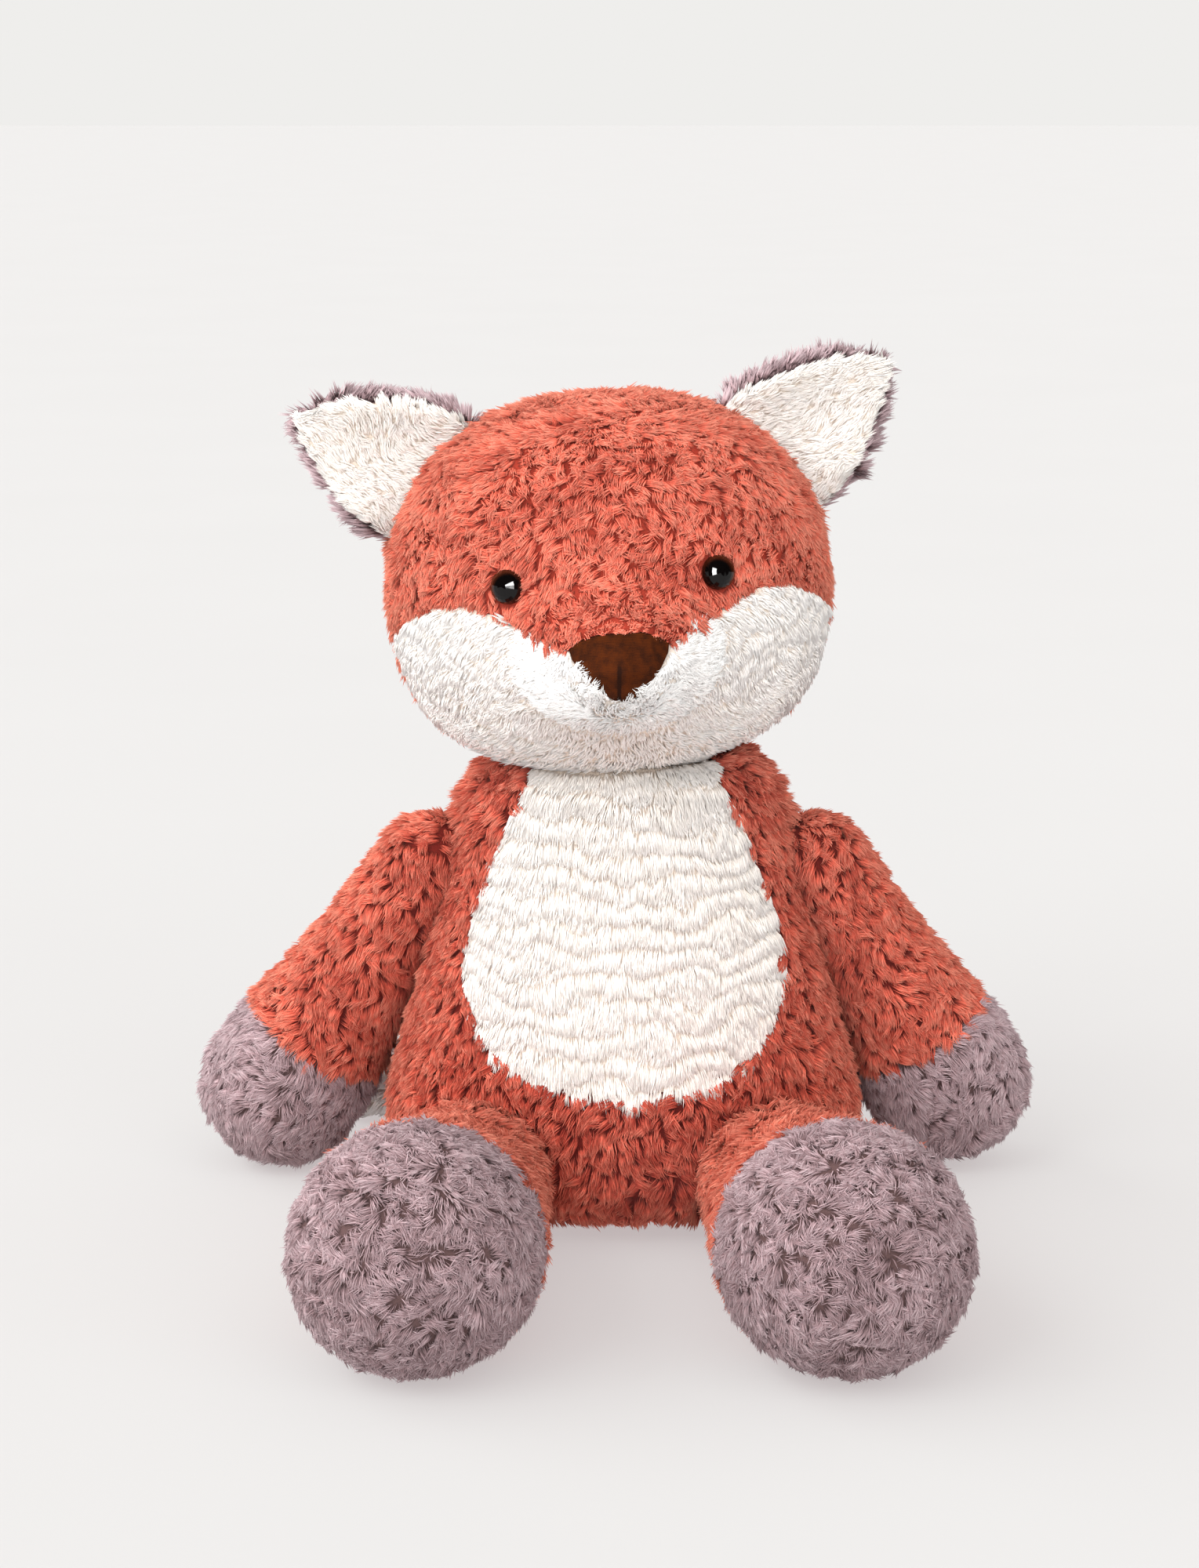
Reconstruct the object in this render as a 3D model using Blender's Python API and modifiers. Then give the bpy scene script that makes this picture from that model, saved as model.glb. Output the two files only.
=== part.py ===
# A plush fox that sits by itself, legs forward and arms hanging, made of pile fabric panels
# sewn over loose stuffing. Metres, +Z up, facing -Y. The origin is the middle of the seat,
# on the floor. Left and right are the fox's own: its left is +X.

import math

import bmesh
import bpy
from mathutils import Matrix, Vector
from mathutils.bvhtree import BVHTree

# Fabric, fits and cuts
SKIN = 0.0022
CLEAR = 0.0003
SLACK = 0.0008
PRESSED = 0.0005
OVERRUN = 0.12

# Body
BODY_HEIGHT = 0.245
BODY_HALF_WIDTH = 0.1228
BODY_FRONT = 0.107
BODY_BACK = 0.100
BODY_LEAN = 0.008
BODY_SEGMENTS = 24
BODY_RINGS = 14
NECK_CUT = 0.0115
NECK_HEIGHT = BODY_HEIGHT - NECK_CUT
BELLY_HALF_WIDTH = 0.0800
BELLY_BOTTOM = 0.0800
BELLY_TOP = 0.2345
BELLY_SEAM_DEPTH = 0.010

# Head
HEAD_HALF_WIDTH = 0.1102
HEAD_HALF_HEIGHT = 0.0940
HEAD_FRONT = 0.096
HEAD_BACK = 0.102
HEAD_LIFT = 0.0888
HEAD_SHIFT = -0.0020
HEAD_ROLL = math.radians(-3.7)
HEAD_YAW = math.radians(1.8)
HEAD_SEGMENTS = 28
HEAD_RINGS = 18
FACE_SEAM_DEPTH = 0.004
MUZZLE_REACH = 0.046
MUZZLE_HALF_WIDTH = 0.062
MUZZLE_HALF_HEIGHT = 0.050
MUZZLE_DROP = 0.025
MUZZLE_PANEL_HALF_WIDTH = 0.049
MUZZLE_PANEL_HALF_HEIGHT = 0.036
MUZZLE_PANEL_DROP = 0.021
NOSE_HALF_WIDTH = 0.0235
NOSE_HEIGHT = 0.0310
NOSE_TOP_DROP = 0.0047
NOSE_PROUD = 0.0015

# Eyes
EYE_RADIUS = 0.0086
EYE_DOME = 0.0062
EYE_EDGE = 0.0008
EYE_STEM_RADIUS = 0.0025
EYE_STEM_LENGTH = 0.0130
EYE_SPREAD = 0.0502
EYE_RAISE = 0.0142
WASHER_RADIUS = 0.0075
WASHER_THICKNESS = 0.0016
EYE_SEGMENTS = 20

# Ears
EAR_LENGTH = 0.0755
EAR_HALF_WIDTH = 0.0335
EAR_PANEL = 0.0042
EAR_CUP = 0.010
EAR_PLACE = math.radians(33.5)
EAR_TURN = {"left": math.radians(37.0), "right": math.radians(30.0)}
EAR_SINK = 0.0078
EAR_DEPTH = 0.004
EAR_FOLD = math.radians(30.0)
EAR_ROOM = 0.0190
EAR_SEAT = 0.0030
EAR_SLOT_SEGMENTS = 16

# Arms
ARM_ROOT_RADIUS = 0.0232
PAW_RADIUS = 0.0415
ARM_DEPTH_SHARE = 0.92
SHOULDER_HEIGHT = 0.1726
SHOULDER_SINK = 0.0012
SHOULDER_REACH = 0.0125
PAW_OUT = {"left": 0.0520, "right": 0.0604}
PAW_HEIGHT = {"left": 0.0460, "right": 0.0425}
PAW_BACK = 0.0300
PAW_SEAM_SHARE = 0.74
ARM_SEGMENTS = 16

# Legs
HIP_PLACE = 0.0760
HIP_FORWARD = 0.0800
LEG_ROOT_WIDTH = 0.0385
LEG_ROOT_RADIUS = 0.0340
FOOT_RADIUS = 0.0560
FOOT_PLACE = {"left": 0.0988, "right": 0.0958}
FOOT_FORWARD = 0.2450
FOOT_SEAM_SHARE = 0.88
FOOT_BAG_HEIGHT = 0.0200
LEG_DOWN = math.radians(75.0)
LEG_UP = math.radians(20.0)
LEG_SEGMENTS = 16

# Tail
TAIL_ROOT_HEIGHT = 0.0420
TAIL_ROOT_BACK = 0.0980
TAIL_ROOT_RADIUS = 0.0270
TAIL_RADIUS = 0.0400
TAIL_LENGTH = 0.1600
TAIL_HEADING = math.radians(15.0)
TAIL_CURL = math.radians(125.0)
TAIL_SEAM_SHARE = 0.56
TAIL_OUT = math.radians(65.0)
TAIL_IN = math.radians(8.0)
TAIL_SEGMENTS = 14

# Filling
CORE_SEGMENTS_SHARE = 0.5
SEAT_BAG_RADIUS = 0.0380
SEAT_BAG_HEIGHT = 0.0240
SEAT_BAG_BACK = 0.0050
SEAT_BAG_LIFT = 0.0060
FAN_REACH = 0.100
HIP_FAN_GROWTH = 1.20
TAIL_FAN_GROWTH = 1.55
FAN_STEPS = 5

# Shapes as shares, from the top pole to the bottom one or from the root outwards.
# Each row is (height or way along, width), and the rows are evenly spaced round the surface.
BODY_SHARES = (
    (1.000, 0.000),
    (0.988, 0.235),
    (0.960, 0.470),
    (0.900, 0.612),
    (0.805, 0.672),
    (0.685, 0.736),
    (0.545, 0.813),
    (0.400, 0.900),
    (0.270, 0.965),
    (0.165, 1.000),
    (0.085, 0.930),
    (0.032, 0.720),
    (0.002, 0.420),
    (-0.002, 0.000),
)
HEAD_SHARES = (
    (1.000, 0.000),
    (0.965, 0.310),
    (0.870, 0.570),
    (0.715, 0.770),
    (0.510, 0.895),
    (0.280, 0.968),
    (0.030, 1.000),
    (-0.220, 0.998),
    (-0.450, 0.950),
    (-0.650, 0.860),
    (-0.810, 0.715),
    (-0.925, 0.490),
    (-0.985, 0.250),
    (-1.000, 0.000),
)
LEG_SHARES = (0.0, 0.08, 0.16, 0.26, 0.42, 0.66, 0.89, 1.0)
ARM_SHARES = (0.0, 0.08, 0.17, 0.28, 0.46, 0.72, 0.93, 1.0)
TAIL_SHARES = (0.675, 0.80, 0.93, 1.0, 0.99, 0.90, 0.76, 0.60)
TAIL_TIP_SHARE = 0.45
EAR_SHARES = (
    (0.00, 0.97),
    (0.16, 1.00),
    (0.34, 0.93),
    (0.52, 0.78),
    (0.70, 0.57),
    (0.86, 0.33),
    (1.00, 0.00),
)
# Half outlines on the front, (across, up), across in half widths and up in half heights.
BELLY_SHARES = (
    (0.00, 0.000),
    (0.36, 0.012),
    (0.62, 0.050),
    (0.83, 0.115),
    (0.95, 0.210),
    (1.00, 0.320),
    (0.98, 0.420),
    (0.93, 0.520),
    (0.86, 0.630),
    (0.77, 0.750),
    (0.67, 0.870),
    (0.53, 1.000),
    (0.45, 1.250),
)
CHEEK_SHARES = (
    (0.000, -0.150),
    (0.205, -0.140),
    (0.390, -0.080),
    (0.530, 0.000),
    (0.660, 0.042),
    (0.800, 0.019),
    (0.920, -0.067),
    (1.020, -0.221),
    (1.300, -0.484),
)
NOSE_SHARES = (
    (0.00, 0.000),
    (0.45, -0.020),
    (0.80, -0.100),
    (1.00, -0.230),
    (0.96, -0.360),
    (0.74, -0.590),
    (0.44, -0.830),
    (0.18, -0.970),
    (0.00, -1.000),
)

# Finishes: colour, roughness, metallic
ORANGE = ((0.60, 0.13, 0.075), 0.95, 0.0)
MAUVE = ((0.34, 0.225, 0.232), 0.95, 0.0)
CREAM = ((0.88, 0.83, 0.76), 0.95, 0.0)
WHITE = ((0.90, 0.87, 0.83), 0.95, 0.0)
BROWN = ((0.10, 0.035, 0.012), 0.80, 0.0)
EYE_BLACK = ((0.010, 0.008, 0.007), 0.08, 0.0)
WASHER_WHITE = ((0.75, 0.75, 0.73), 0.45, 0.0)
WADDING = ((0.82, 0.82, 0.80), 1.0, 0.0)
BAG_CLOTH = ((0.70, 0.68, 0.62), 0.9, 0.0)


def empty_scene():
    for old in list(bpy.data.objects):
        bpy.data.objects.remove(old, do_unlink=True)


def new_collection(name, wired=False):
    group = bpy.data.collections.new(name)
    bpy.context.scene.collection.children.link(group)
    group.hide_render = wired
    return group


def finish(name, look):
    """A Principled material of this colour, roughness and metallic value."""
    colour, roughness, metallic = look
    made = bpy.data.materials.get(name) or bpy.data.materials.new(name)
    made.use_nodes = True
    shader = made.node_tree.nodes["Principled BSDF"]
    shader.inputs["Base Color"].default_value = (*colour, 1.0)
    shader.inputs["Roughness"].default_value = roughness
    shader.inputs["Metallic"].default_value = metallic
    return made


def pivot(name, place, turn=None, parent=None):
    """An empty on a joint's axis. The pieces that move with the joint are its children."""
    made = bpy.data.objects.new(name, None)
    FOX.objects.link(made)
    made.parent = parent
    made.matrix_local = Matrix.Translation(place) @ (turn or Matrix()).to_4x4()
    return made


def object_from(name, mesh, group, parent=None):
    made = bpy.data.objects.new(name, mesh)
    group.objects.link(made)
    made.parent = parent
    return made


def mesh_from(name, shape, smooth=True):
    """Closes a bmesh into a mesh whose faces point out."""
    shape.normal_update()
    bmesh.ops.recalc_face_normals(shape, faces=shape.faces[:])
    mesh = bpy.data.meshes.new(name)
    shape.to_mesh(mesh)
    shape.free()
    if smooth:
        mesh.shade_smooth()
    return mesh


def piece(name, shape, look_name, look, parent=None):
    """One physical piece: its own object, with its own material."""
    mesh = mesh_from(name, shape)
    mesh.materials.append(finish(look_name, look))
    return object_from(name, mesh, FOX, parent)


def cutter(name, shape, parent=None):
    made = object_from(name, mesh_from(name, shape, smooth=False), CUTTERS, parent)
    made.hide_render = True
    made.display_type = "WIRE"
    return made


def trim(target, tool, operation="DIFFERENCE"):
    step = target.modifiers.new(tool.name, "BOOLEAN")
    step.operation = operation
    step.object = tool


def hollow(target, wall=SKIN):
    """Turns a closed form into fabric of this thickness, lying inside the form's surface."""
    step = target.modifiers.new("fabric", "SOLIDIFY")
    step.thickness = wall
    step.offset = -1.0
    step.use_even_offset = True


def along_rows(rows, share):
    """The row at this share of the way down a table, on a smooth curve through its rows.
    Past a pole the curve goes on down the far side, so the surface is round there."""
    last = len(rows) - 1
    place = share * last
    index = min(int(place), last - 1)
    part = place - index

    def row(number):
        if number < 0:
            return (rows[-number][0], -rows[-number][1])
        if number > last:
            return (rows[2 * last - number][0], -rows[2 * last - number][1])
        return rows[number]

    four = [row(index + step) for step in (-1, 0, 1, 2)]
    return [
        0.5
        * (
            2 * b
            + (c - a) * part
            + (2 * a - 5 * b + 4 * c - d) * part**2
            + (3 * b - a - 3 * c + d) * part**3
        )
        for a, b, c, d in zip(*four)
    ]


def along_values(values, share):
    """The value at this share of the way along a list, eased between its neighbours."""
    last = len(values) - 1
    place = share * last
    index = min(int(place), last - 1)
    part = place - index
    before = values[max(index - 1, 0)]
    after = values[min(index + 2, last)]
    start, end = values[index], values[index + 1]
    return 0.5 * (
        2 * start
        + (end - before) * part
        + (2 * before - 5 * start + 4 * end - after) * part**2
        + (3 * start - before - 3 * end + after) * part**3
    )


def wrapped_sphere(surface, rings, segments, inset=0.0):
    """A sphere primitive whose points are moved to surface(share down, angle round), then
    moved in by inset along their normals."""
    shape = bmesh.new()
    bmesh.ops.create_uvsphere(shape, u_segments=segments, v_segments=rings, radius=1.0)
    for point in shape.verts:
        down = round(math.acos(max(-1.0, min(1.0, point.co.z))) / math.pi * rings)
        angle = math.atan2(point.co.y, point.co.x)
        point.co = surface(down / rings, angle)
    shape.normal_update()
    bmesh.ops.recalc_face_normals(shape, faces=shape.faces[:])
    if inset:
        shape.normal_update()
        moved = [point.normal * inset * point.calc_shell_factor() for point in shape.verts]
        for point, step in zip(shape.verts, moved):
            point.co -= step
    return shape


def core_counts(rings, segments):
    """The filling is drawn with half the faces of its skin, on the same meridians."""
    return round(rings * CORE_SEGMENTS_SHARE), round(segments * CORE_SEGMENTS_SHARE)


def prism(outline, near, far, grow=0.0):
    """A flat outline of (across, up) points, grown outwards, from depth near to depth far."""
    shape = bmesh.new()
    count = len(outline)
    middle = sum((Vector(point) for point in outline), Vector((0, 0))) / count
    places = []
    for index, point in enumerate(outline):
        along = Vector(outline[(index + 1) % count]) - Vector(outline[index - 1])
        outward = Vector((along.y, -along.x)).normalized()
        if outward.dot(Vector(point) - middle) < 0:
            outward = -outward
        places.append(Vector(point) + outward * grow)
    corners = [shape.verts.new((place.x, near, place.y)) for place in places]
    face = shape.faces.new(corners)
    pushed = bmesh.ops.extrude_face_region(shape, geom=[face])["geom"]
    moved = [item for item in pushed if isinstance(item, bmesh.types.BMVert)]
    bmesh.ops.translate(shape, verts=moved, vec=(0, far - near, 0))
    return shape


def mirrored(half):
    """A half outline from the middle line out, and its mirror image, as one outline."""
    other = [(-across, up) for across, up in reversed(half) if across > 0]
    return list(half) + other


def half_space(name, place, normal, parent=None):
    """A cutter that takes away everything past the plane at place, on the normal's side."""
    shape = bmesh.new()
    bmesh.ops.create_cube(shape, size=1.0)
    side = BODY_HEIGHT + OVERRUN
    bmesh.ops.translate(shape, verts=shape.verts, vec=(0, 0, 0.5))
    bmesh.ops.scale(shape, verts=shape.verts, vec=(2 * side, 2 * side, side))
    turn = Vector((0, 0, 1)).rotation_difference(Vector(normal)).to_matrix()
    bmesh.ops.transform(
        shape, verts=shape.verts, matrix=Matrix.Translation(place) @ turn.to_4x4()
    )
    return cutter(name, shape, parent)


def wrap(solid):
    """One convex skin round every point of these solids."""
    shape = bmesh.new()
    for point in solid.verts:
        shape.verts.new(point.co)
    solid.free()
    bmesh.ops.convex_hull(shape, input=shape.verts[:])
    loose = [point for point in shape.verts if not point.link_faces]
    bmesh.ops.delete(shape, geom=loose, context="VERTS")
    return shape


def fan(name, place, radii, headings, widening):
    """The room that a round root sweeps as it swings: ellipsoids at the pivot and along the
    arc that the limb turns through, wrapped in one convex skin."""
    shape = bmesh.new()
    steps = LEG_SEGMENTS
    round_up = 1 / math.cos(math.pi / steps) ** 2
    centres = [(Vector(place), round_up)]
    for heading in headings:
        centres.append((Vector(place) + Vector(heading) * FAN_REACH, widening * round_up))
    for centre, growth in centres:
        made = bmesh.ops.create_uvsphere(
            shape, u_segments=steps, v_segments=steps // 2, radius=1.0
        )["verts"]
        sizes = [(radius + CLEAR + SLACK) * growth for radius in radii]
        bmesh.ops.scale(shape, verts=made, vec=sizes)
        bmesh.ops.translate(shape, verts=made, vec=centre)
    return cutter(name, wrap(shape))


def limb_rings(cap, shank):
    """Where each ring of a limb lies: ("root", angle), ("shank", share) or ("end", angle)."""
    rings = [("root", 0.5 * math.pi * step / cap) for step in range(cap)]
    rings += [("shank", step / shank) for step in range(shank + 1)]
    rings += [("end", 0.5 * math.pi * step / cap) for step in range(1, cap + 1)]
    return rings


def limb_surface(root, end, root_sizes, end_sizes, swell, side, cap, shank):
    """The surface of a limb that swells from a round root to a round end. root_sizes and
    end_sizes are (across, up), across lies along side, and swell eases one into the other."""
    way = end - root
    length = way.length
    ahead = way / length
    across = (side - ahead * side.dot(ahead)).normalized()
    upward = across.cross(ahead)
    places = limb_rings(cap, shank)

    def surface(share, angle):
        kind, value = places[round(share * (len(places) - 1))]
        if kind == "root":
            forward, width, sizes = -root_sizes[1] * math.cos(value), math.sin(value), root_sizes
        elif kind == "end":
            forward = length + end_sizes[0] * math.sin(value)
            width, sizes = math.cos(value), end_sizes
        else:
            eased = along_values(swell, value)
            forward, width = length * value, 1.0
            sizes = [a + (b - a) * eased for a, b in zip(root_sizes, end_sizes)]
        return (
            root
            + ahead * forward
            + across * (sizes[0] * width * math.cos(angle))
            + upward * (sizes[1] * width * math.sin(angle))
        )

    return surface, len(places) - 1


def body_surface(share, angle):
    height, width = along_rows(BODY_SHARES, share)
    depth = BODY_FRONT if math.sin(angle) < 0 else BODY_BACK
    return Vector(
        (
            BODY_HALF_WIDTH * width * math.cos(angle),
            depth * width * math.sin(angle) + BODY_LEAN * height,
            BODY_HEIGHT * height,
        )
    )


def head_surface(share, angle):
    """The head about its own middle: a wide low ball, with a broad muzzle in front. Its
    meridians and rings draw closer together over the muzzle."""
    closer = share + 0.3 * math.sin(2 * math.pi * share) / (2 * math.pi)
    front = angle + 0.5 * math.pi
    front = math.atan2(math.sin(front), math.cos(front))
    turned = front - 0.42 * math.sin(front) - 0.5 * math.pi
    height, width = along_rows(HEAD_SHARES, closer)
    depth = HEAD_FRONT if math.sin(turned) < 0 else HEAD_BACK
    place = Vector(
        (
            HEAD_HALF_WIDTH * width * math.cos(turned),
            depth * width * math.sin(turned),
            HEAD_HALF_HEIGHT * height,
        )
    )
    if place.y < 0:
        place.y -= MUZZLE_REACH * muzzle_rise(place.x, place.z)
    return place


def muzzle_rise(across, up):
    """How far the muzzle stands out at this place on the face, as a share of its reach."""
    away = math.hypot(across / MUZZLE_HALF_WIDTH, (up + MUZZLE_DROP) / MUZZLE_HALF_HEIGHT)
    return (1 - min(away, 1.0) ** 2) ** 2


def make_body():
    """The body skin, its belly panel, the stuffing and the bag of pellets in the seat."""
    skin = wrapped_sphere(body_surface, BODY_RINGS, BODY_SEGMENTS)
    skin = piece("body_skin", skin, "orange_fur", ORANGE)
    panel = wrapped_sphere(body_surface, BODY_RINGS, BODY_SEGMENTS)
    panel = piece("belly_panel", panel, "cream_fur", CREAM)
    rings, segments = core_counts(BODY_RINGS, BODY_SEGMENTS)
    core = wrapped_sphere(body_surface, rings, segments, SKIN + SLACK)
    core = piece("body_stuffing", core, "wadding", WADDING)

    rise = BELLY_TOP - BELLY_BOTTOM
    outline = mirrored(
        [(BELLY_HALF_WIDTH * a, BELLY_BOTTOM + rise * b) for a, b in BELLY_SHARES]
    )
    reach = -BODY_FRONT - OVERRUN
    inner = cutter("belly_outline", prism(outline, reach, -BELLY_SEAM_DEPTH))
    outer = cutter("belly_gap", prism(outline, reach, CLEAR - BELLY_SEAM_DEPTH, CLEAR))
    neck = half_space("neck_below", (0, 0, NECK_HEIGHT), (0, 0, 1))
    floor = half_space("floor_below", (0, 0, 0), (0, 0, -1))
    core_floor = half_space("seat_inside", (0, 0, SKIN + SLACK), (0, 0, -1))

    hollow(skin)
    hollow(panel)
    trim(panel, inner, "INTERSECT")
    trim(skin, outer)
    for part in (skin, panel, core):
        trim(part, neck)
    trim(skin, floor)
    trim(core, core_floor)

    bag = bmesh.new()
    bmesh.ops.create_uvsphere(bag, u_segments=16, v_segments=8, radius=1.0)
    sizes = (SEAT_BAG_RADIUS, SEAT_BAG_RADIUS, SEAT_BAG_HEIGHT)
    bmesh.ops.scale(bag, verts=bag.verts, vec=sizes)
    bmesh.ops.translate(bag, verts=bag.verts, vec=(0, SEAT_BAG_BACK, SEAT_BAG_LIFT))
    pocket = bag.copy()
    bmesh.ops.scale(
        pocket,
        verts=pocket.verts,
        vec=[(size + CLEAR) / size for size in sizes],
        space=Matrix.Translation((0, -SEAT_BAG_BACK, -SEAT_BAG_LIFT)),
    )
    bag = piece("seat_pellet_bag", bag, "bag_cloth", BAG_CLOTH)
    bag_floor = half_space("seat_bag_base", (0, 0, SEAT_BAG_LIFT), (0, 0, -1))
    trim(bag, bag_floor)
    trim(core, cutter("seat_pocket", pocket))
    return skin, panel, core


def turned_piece(profile, segments):
    """A turned shape about its own Z from (radius, height) points, with closed ends."""
    shape = bmesh.new()
    ring = [shape.verts.new((radius, 0, height)) for radius, height in profile]
    edges = [shape.edges.new(pair) for pair in zip(ring, ring[1:])]
    bmesh.ops.spin(
        shape,
        geom=ring + edges,
        axis=(0, 0, 1),
        cent=(0, 0, 0),
        angle=2 * math.pi,
        steps=segments,
        use_merge=True,
    )
    bmesh.ops.remove_doubles(shape, verts=shape.verts, dist=CLEAR * CLEAR)
    return shape


def make_eye(side, sign, skull, head, soft):
    """A domed eye on a ribbed stem, pushed through the face, and its lock washer inside."""
    across = HEAD_SHIFT + sign * EYE_SPREAD
    start = Vector((across, -HEAD_FRONT - OVERRUN, HEAD_LIFT + EYE_RAISE))
    place, outward = skull.ray_cast(start, Vector((0, 1, 0)))[:2]
    frame = pivot(
        f"{side}_eye_place",
        place + outward * SLACK,
        Vector((0, 0, 1)).rotation_difference(outward).to_matrix(),
        head,
    )
    steps = 6
    dome = [
        (EYE_RADIUS * math.cos(angle), EYE_EDGE + EYE_DOME * math.sin(angle))
        for angle in (0.5 * math.pi * step / steps for step in range(steps, -1, -1))
    ]
    dome[0] = (0, EYE_EDGE + EYE_DOME)
    stem = [
        (EYE_RADIUS, 0),
        (EYE_STEM_RADIUS, 0),
        (EYE_STEM_RADIUS, EYE_EDGE - EYE_STEM_LENGTH),
        (0, -EYE_STEM_LENGTH),
    ]
    piece(f"{side}_eye", turned_piece(dome + stem, EYE_SEGMENTS), "eye_black", EYE_BLACK, frame)

    top = -SKIN - 3 * SLACK
    bore = EYE_STEM_RADIUS + CLEAR
    ring = [
        (bore, top),
        (WASHER_RADIUS, top),
        (WASHER_RADIUS, top - WASHER_THICKNESS),
        (bore, top - WASHER_THICKNESS),
        (bore, top),
    ]
    washer = turned_piece(ring, EYE_SEGMENTS)
    piece(f"{side}_eye_washer", washer, "washer_white", WASHER_WHITE, frame)

    hole = bmesh.new()
    bmesh.ops.create_cone(
        hole,
        cap_ends=True,
        segments=EYE_SEGMENTS,
        radius1=bore,
        radius2=bore,
        depth=2 * (EYE_STEM_LENGTH + CLEAR),
    )
    hole = cutter(f"{side}_eye_hole", hole, frame)
    pocket = bmesh.new()
    bmesh.ops.create_cone(
        pocket,
        cap_ends=True,
        segments=EYE_SEGMENTS,
        radius1=WASHER_RADIUS + CLEAR,
        radius2=WASHER_RADIUS + CLEAR,
        depth=2 * (CLEAR + WASHER_THICKNESS - top),
    )
    pocket = cutter(f"{side}_eye_pocket", pocket, frame)
    for part in soft["skins"]:
        trim(part, hole)
    trim(soft["core"], hole)
    trim(soft["core"], pocket)


def ear_sheet(face):
    """One ear panel as an open leaf, cupped more and more towards its tip. face is -1 for
    the front panel and +1 for the back one, which lies behind it."""
    shape = bmesh.new()
    across_steps, along_steps = 8, 10
    bmesh.ops.create_grid(
        shape, x_segments=across_steps, y_segments=along_steps, size=0.5
    )
    for point in shape.verts:
        across = 2 * point.co.x
        share = point.co.y + 0.5
        way, width = (along_values(column, share) for column in zip(*EAR_SHARES))
        bend = math.sin(math.pi * min(1.0, share * 1.1)) ** 2
        cup = EAR_CUP * (across**2 * width**2 - 0.25) * bend
        point.co = Vector(
            (
                across * width * EAR_HALF_WIDTH,
                face * 0.5 * CLEAR - cup,
                way * (EAR_LENGTH + EAR_SEAT) - EAR_SEAT,
            )
        )
    bmesh.ops.remove_doubles(shape, verts=shape.verts, dist=CLEAR)
    facing = sum(face_.normal.y * face_.calc_area() for face_ in shape.faces)
    if facing * face < 0:
        bmesh.ops.reverse_faces(shape, faces=shape.faces[:])
    return shape


def make_ear(side, sign, skull, head, soft):
    """A two-layer ear whose root is caught in a slot in the crown and folds to and fro."""
    way = Vector((sign * math.cos(EAR_PLACE), 0, math.sin(EAR_PLACE)))
    middle = Vector((HEAD_SHIFT, EAR_DEPTH, HEAD_LIFT))
    hit = skull.ray_cast(middle + way * (HEAD_HALF_WIDTH + OVERRUN), -way)[0]
    place = hit - way * EAR_SINK
    lean = sign * (0.5 * math.pi - EAR_TURN[side])
    root = pivot(f"{side}_ear_pivot", place, Matrix.Rotation(lean, 3, "Y"), head)
    for name, face, look_name, look in (
        ("front", -1, "cream_fur", CREAM),
        ("back", 1, "mauve_fur", MAUVE),
    ):
        mesh = bpy.data.meshes.new(f"{side}_ear_{name}")
        sheet = ear_sheet(face)
        sheet.to_mesh(mesh)
        sheet.free()
        mesh.shade_smooth()
        mesh.materials.append(finish(look_name, look))
        panel = object_from(f"{side}_ear_{name}", mesh, FOX, root)
        step = panel.modifiers.new("fabric", "SOLIDIFY")
        step.thickness = EAR_PANEL
        step.offset = 1.0

    shape = bmesh.new()
    corner = math.hypot(EAR_PANEL + 0.5 * CLEAR, EAR_SEAT)
    root_radius = (corner + CLEAR) / math.cos(math.pi / EAR_SLOT_SEGMENTS)
    for turn in (0.0, -EAR_FOLD, EAR_FOLD):
        reach = EAR_LENGTH if turn else 0.0
        radius = root_radius + EAR_ROOM if turn else root_radius
        made = bmesh.ops.create_cone(
            shape,
            cap_ends=True,
            segments=EAR_SLOT_SEGMENTS,
            radius1=radius,
            radius2=radius,
            depth=2 * (EAR_HALF_WIDTH + 2 * SLACK),
        )["verts"]
        spin = Matrix.Rotation(0.5 * math.pi, 4, "Y")
        shift = Matrix.Translation((0, reach * math.sin(turn), reach * math.cos(turn)))
        bmesh.ops.transform(shape, verts=made, matrix=shift @ spin)
    slot = cutter(f"{side}_ear_slot", wrap(shape), root)
    for part in soft["skins"] + [soft["core"]]:
        trim(part, slot)


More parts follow.
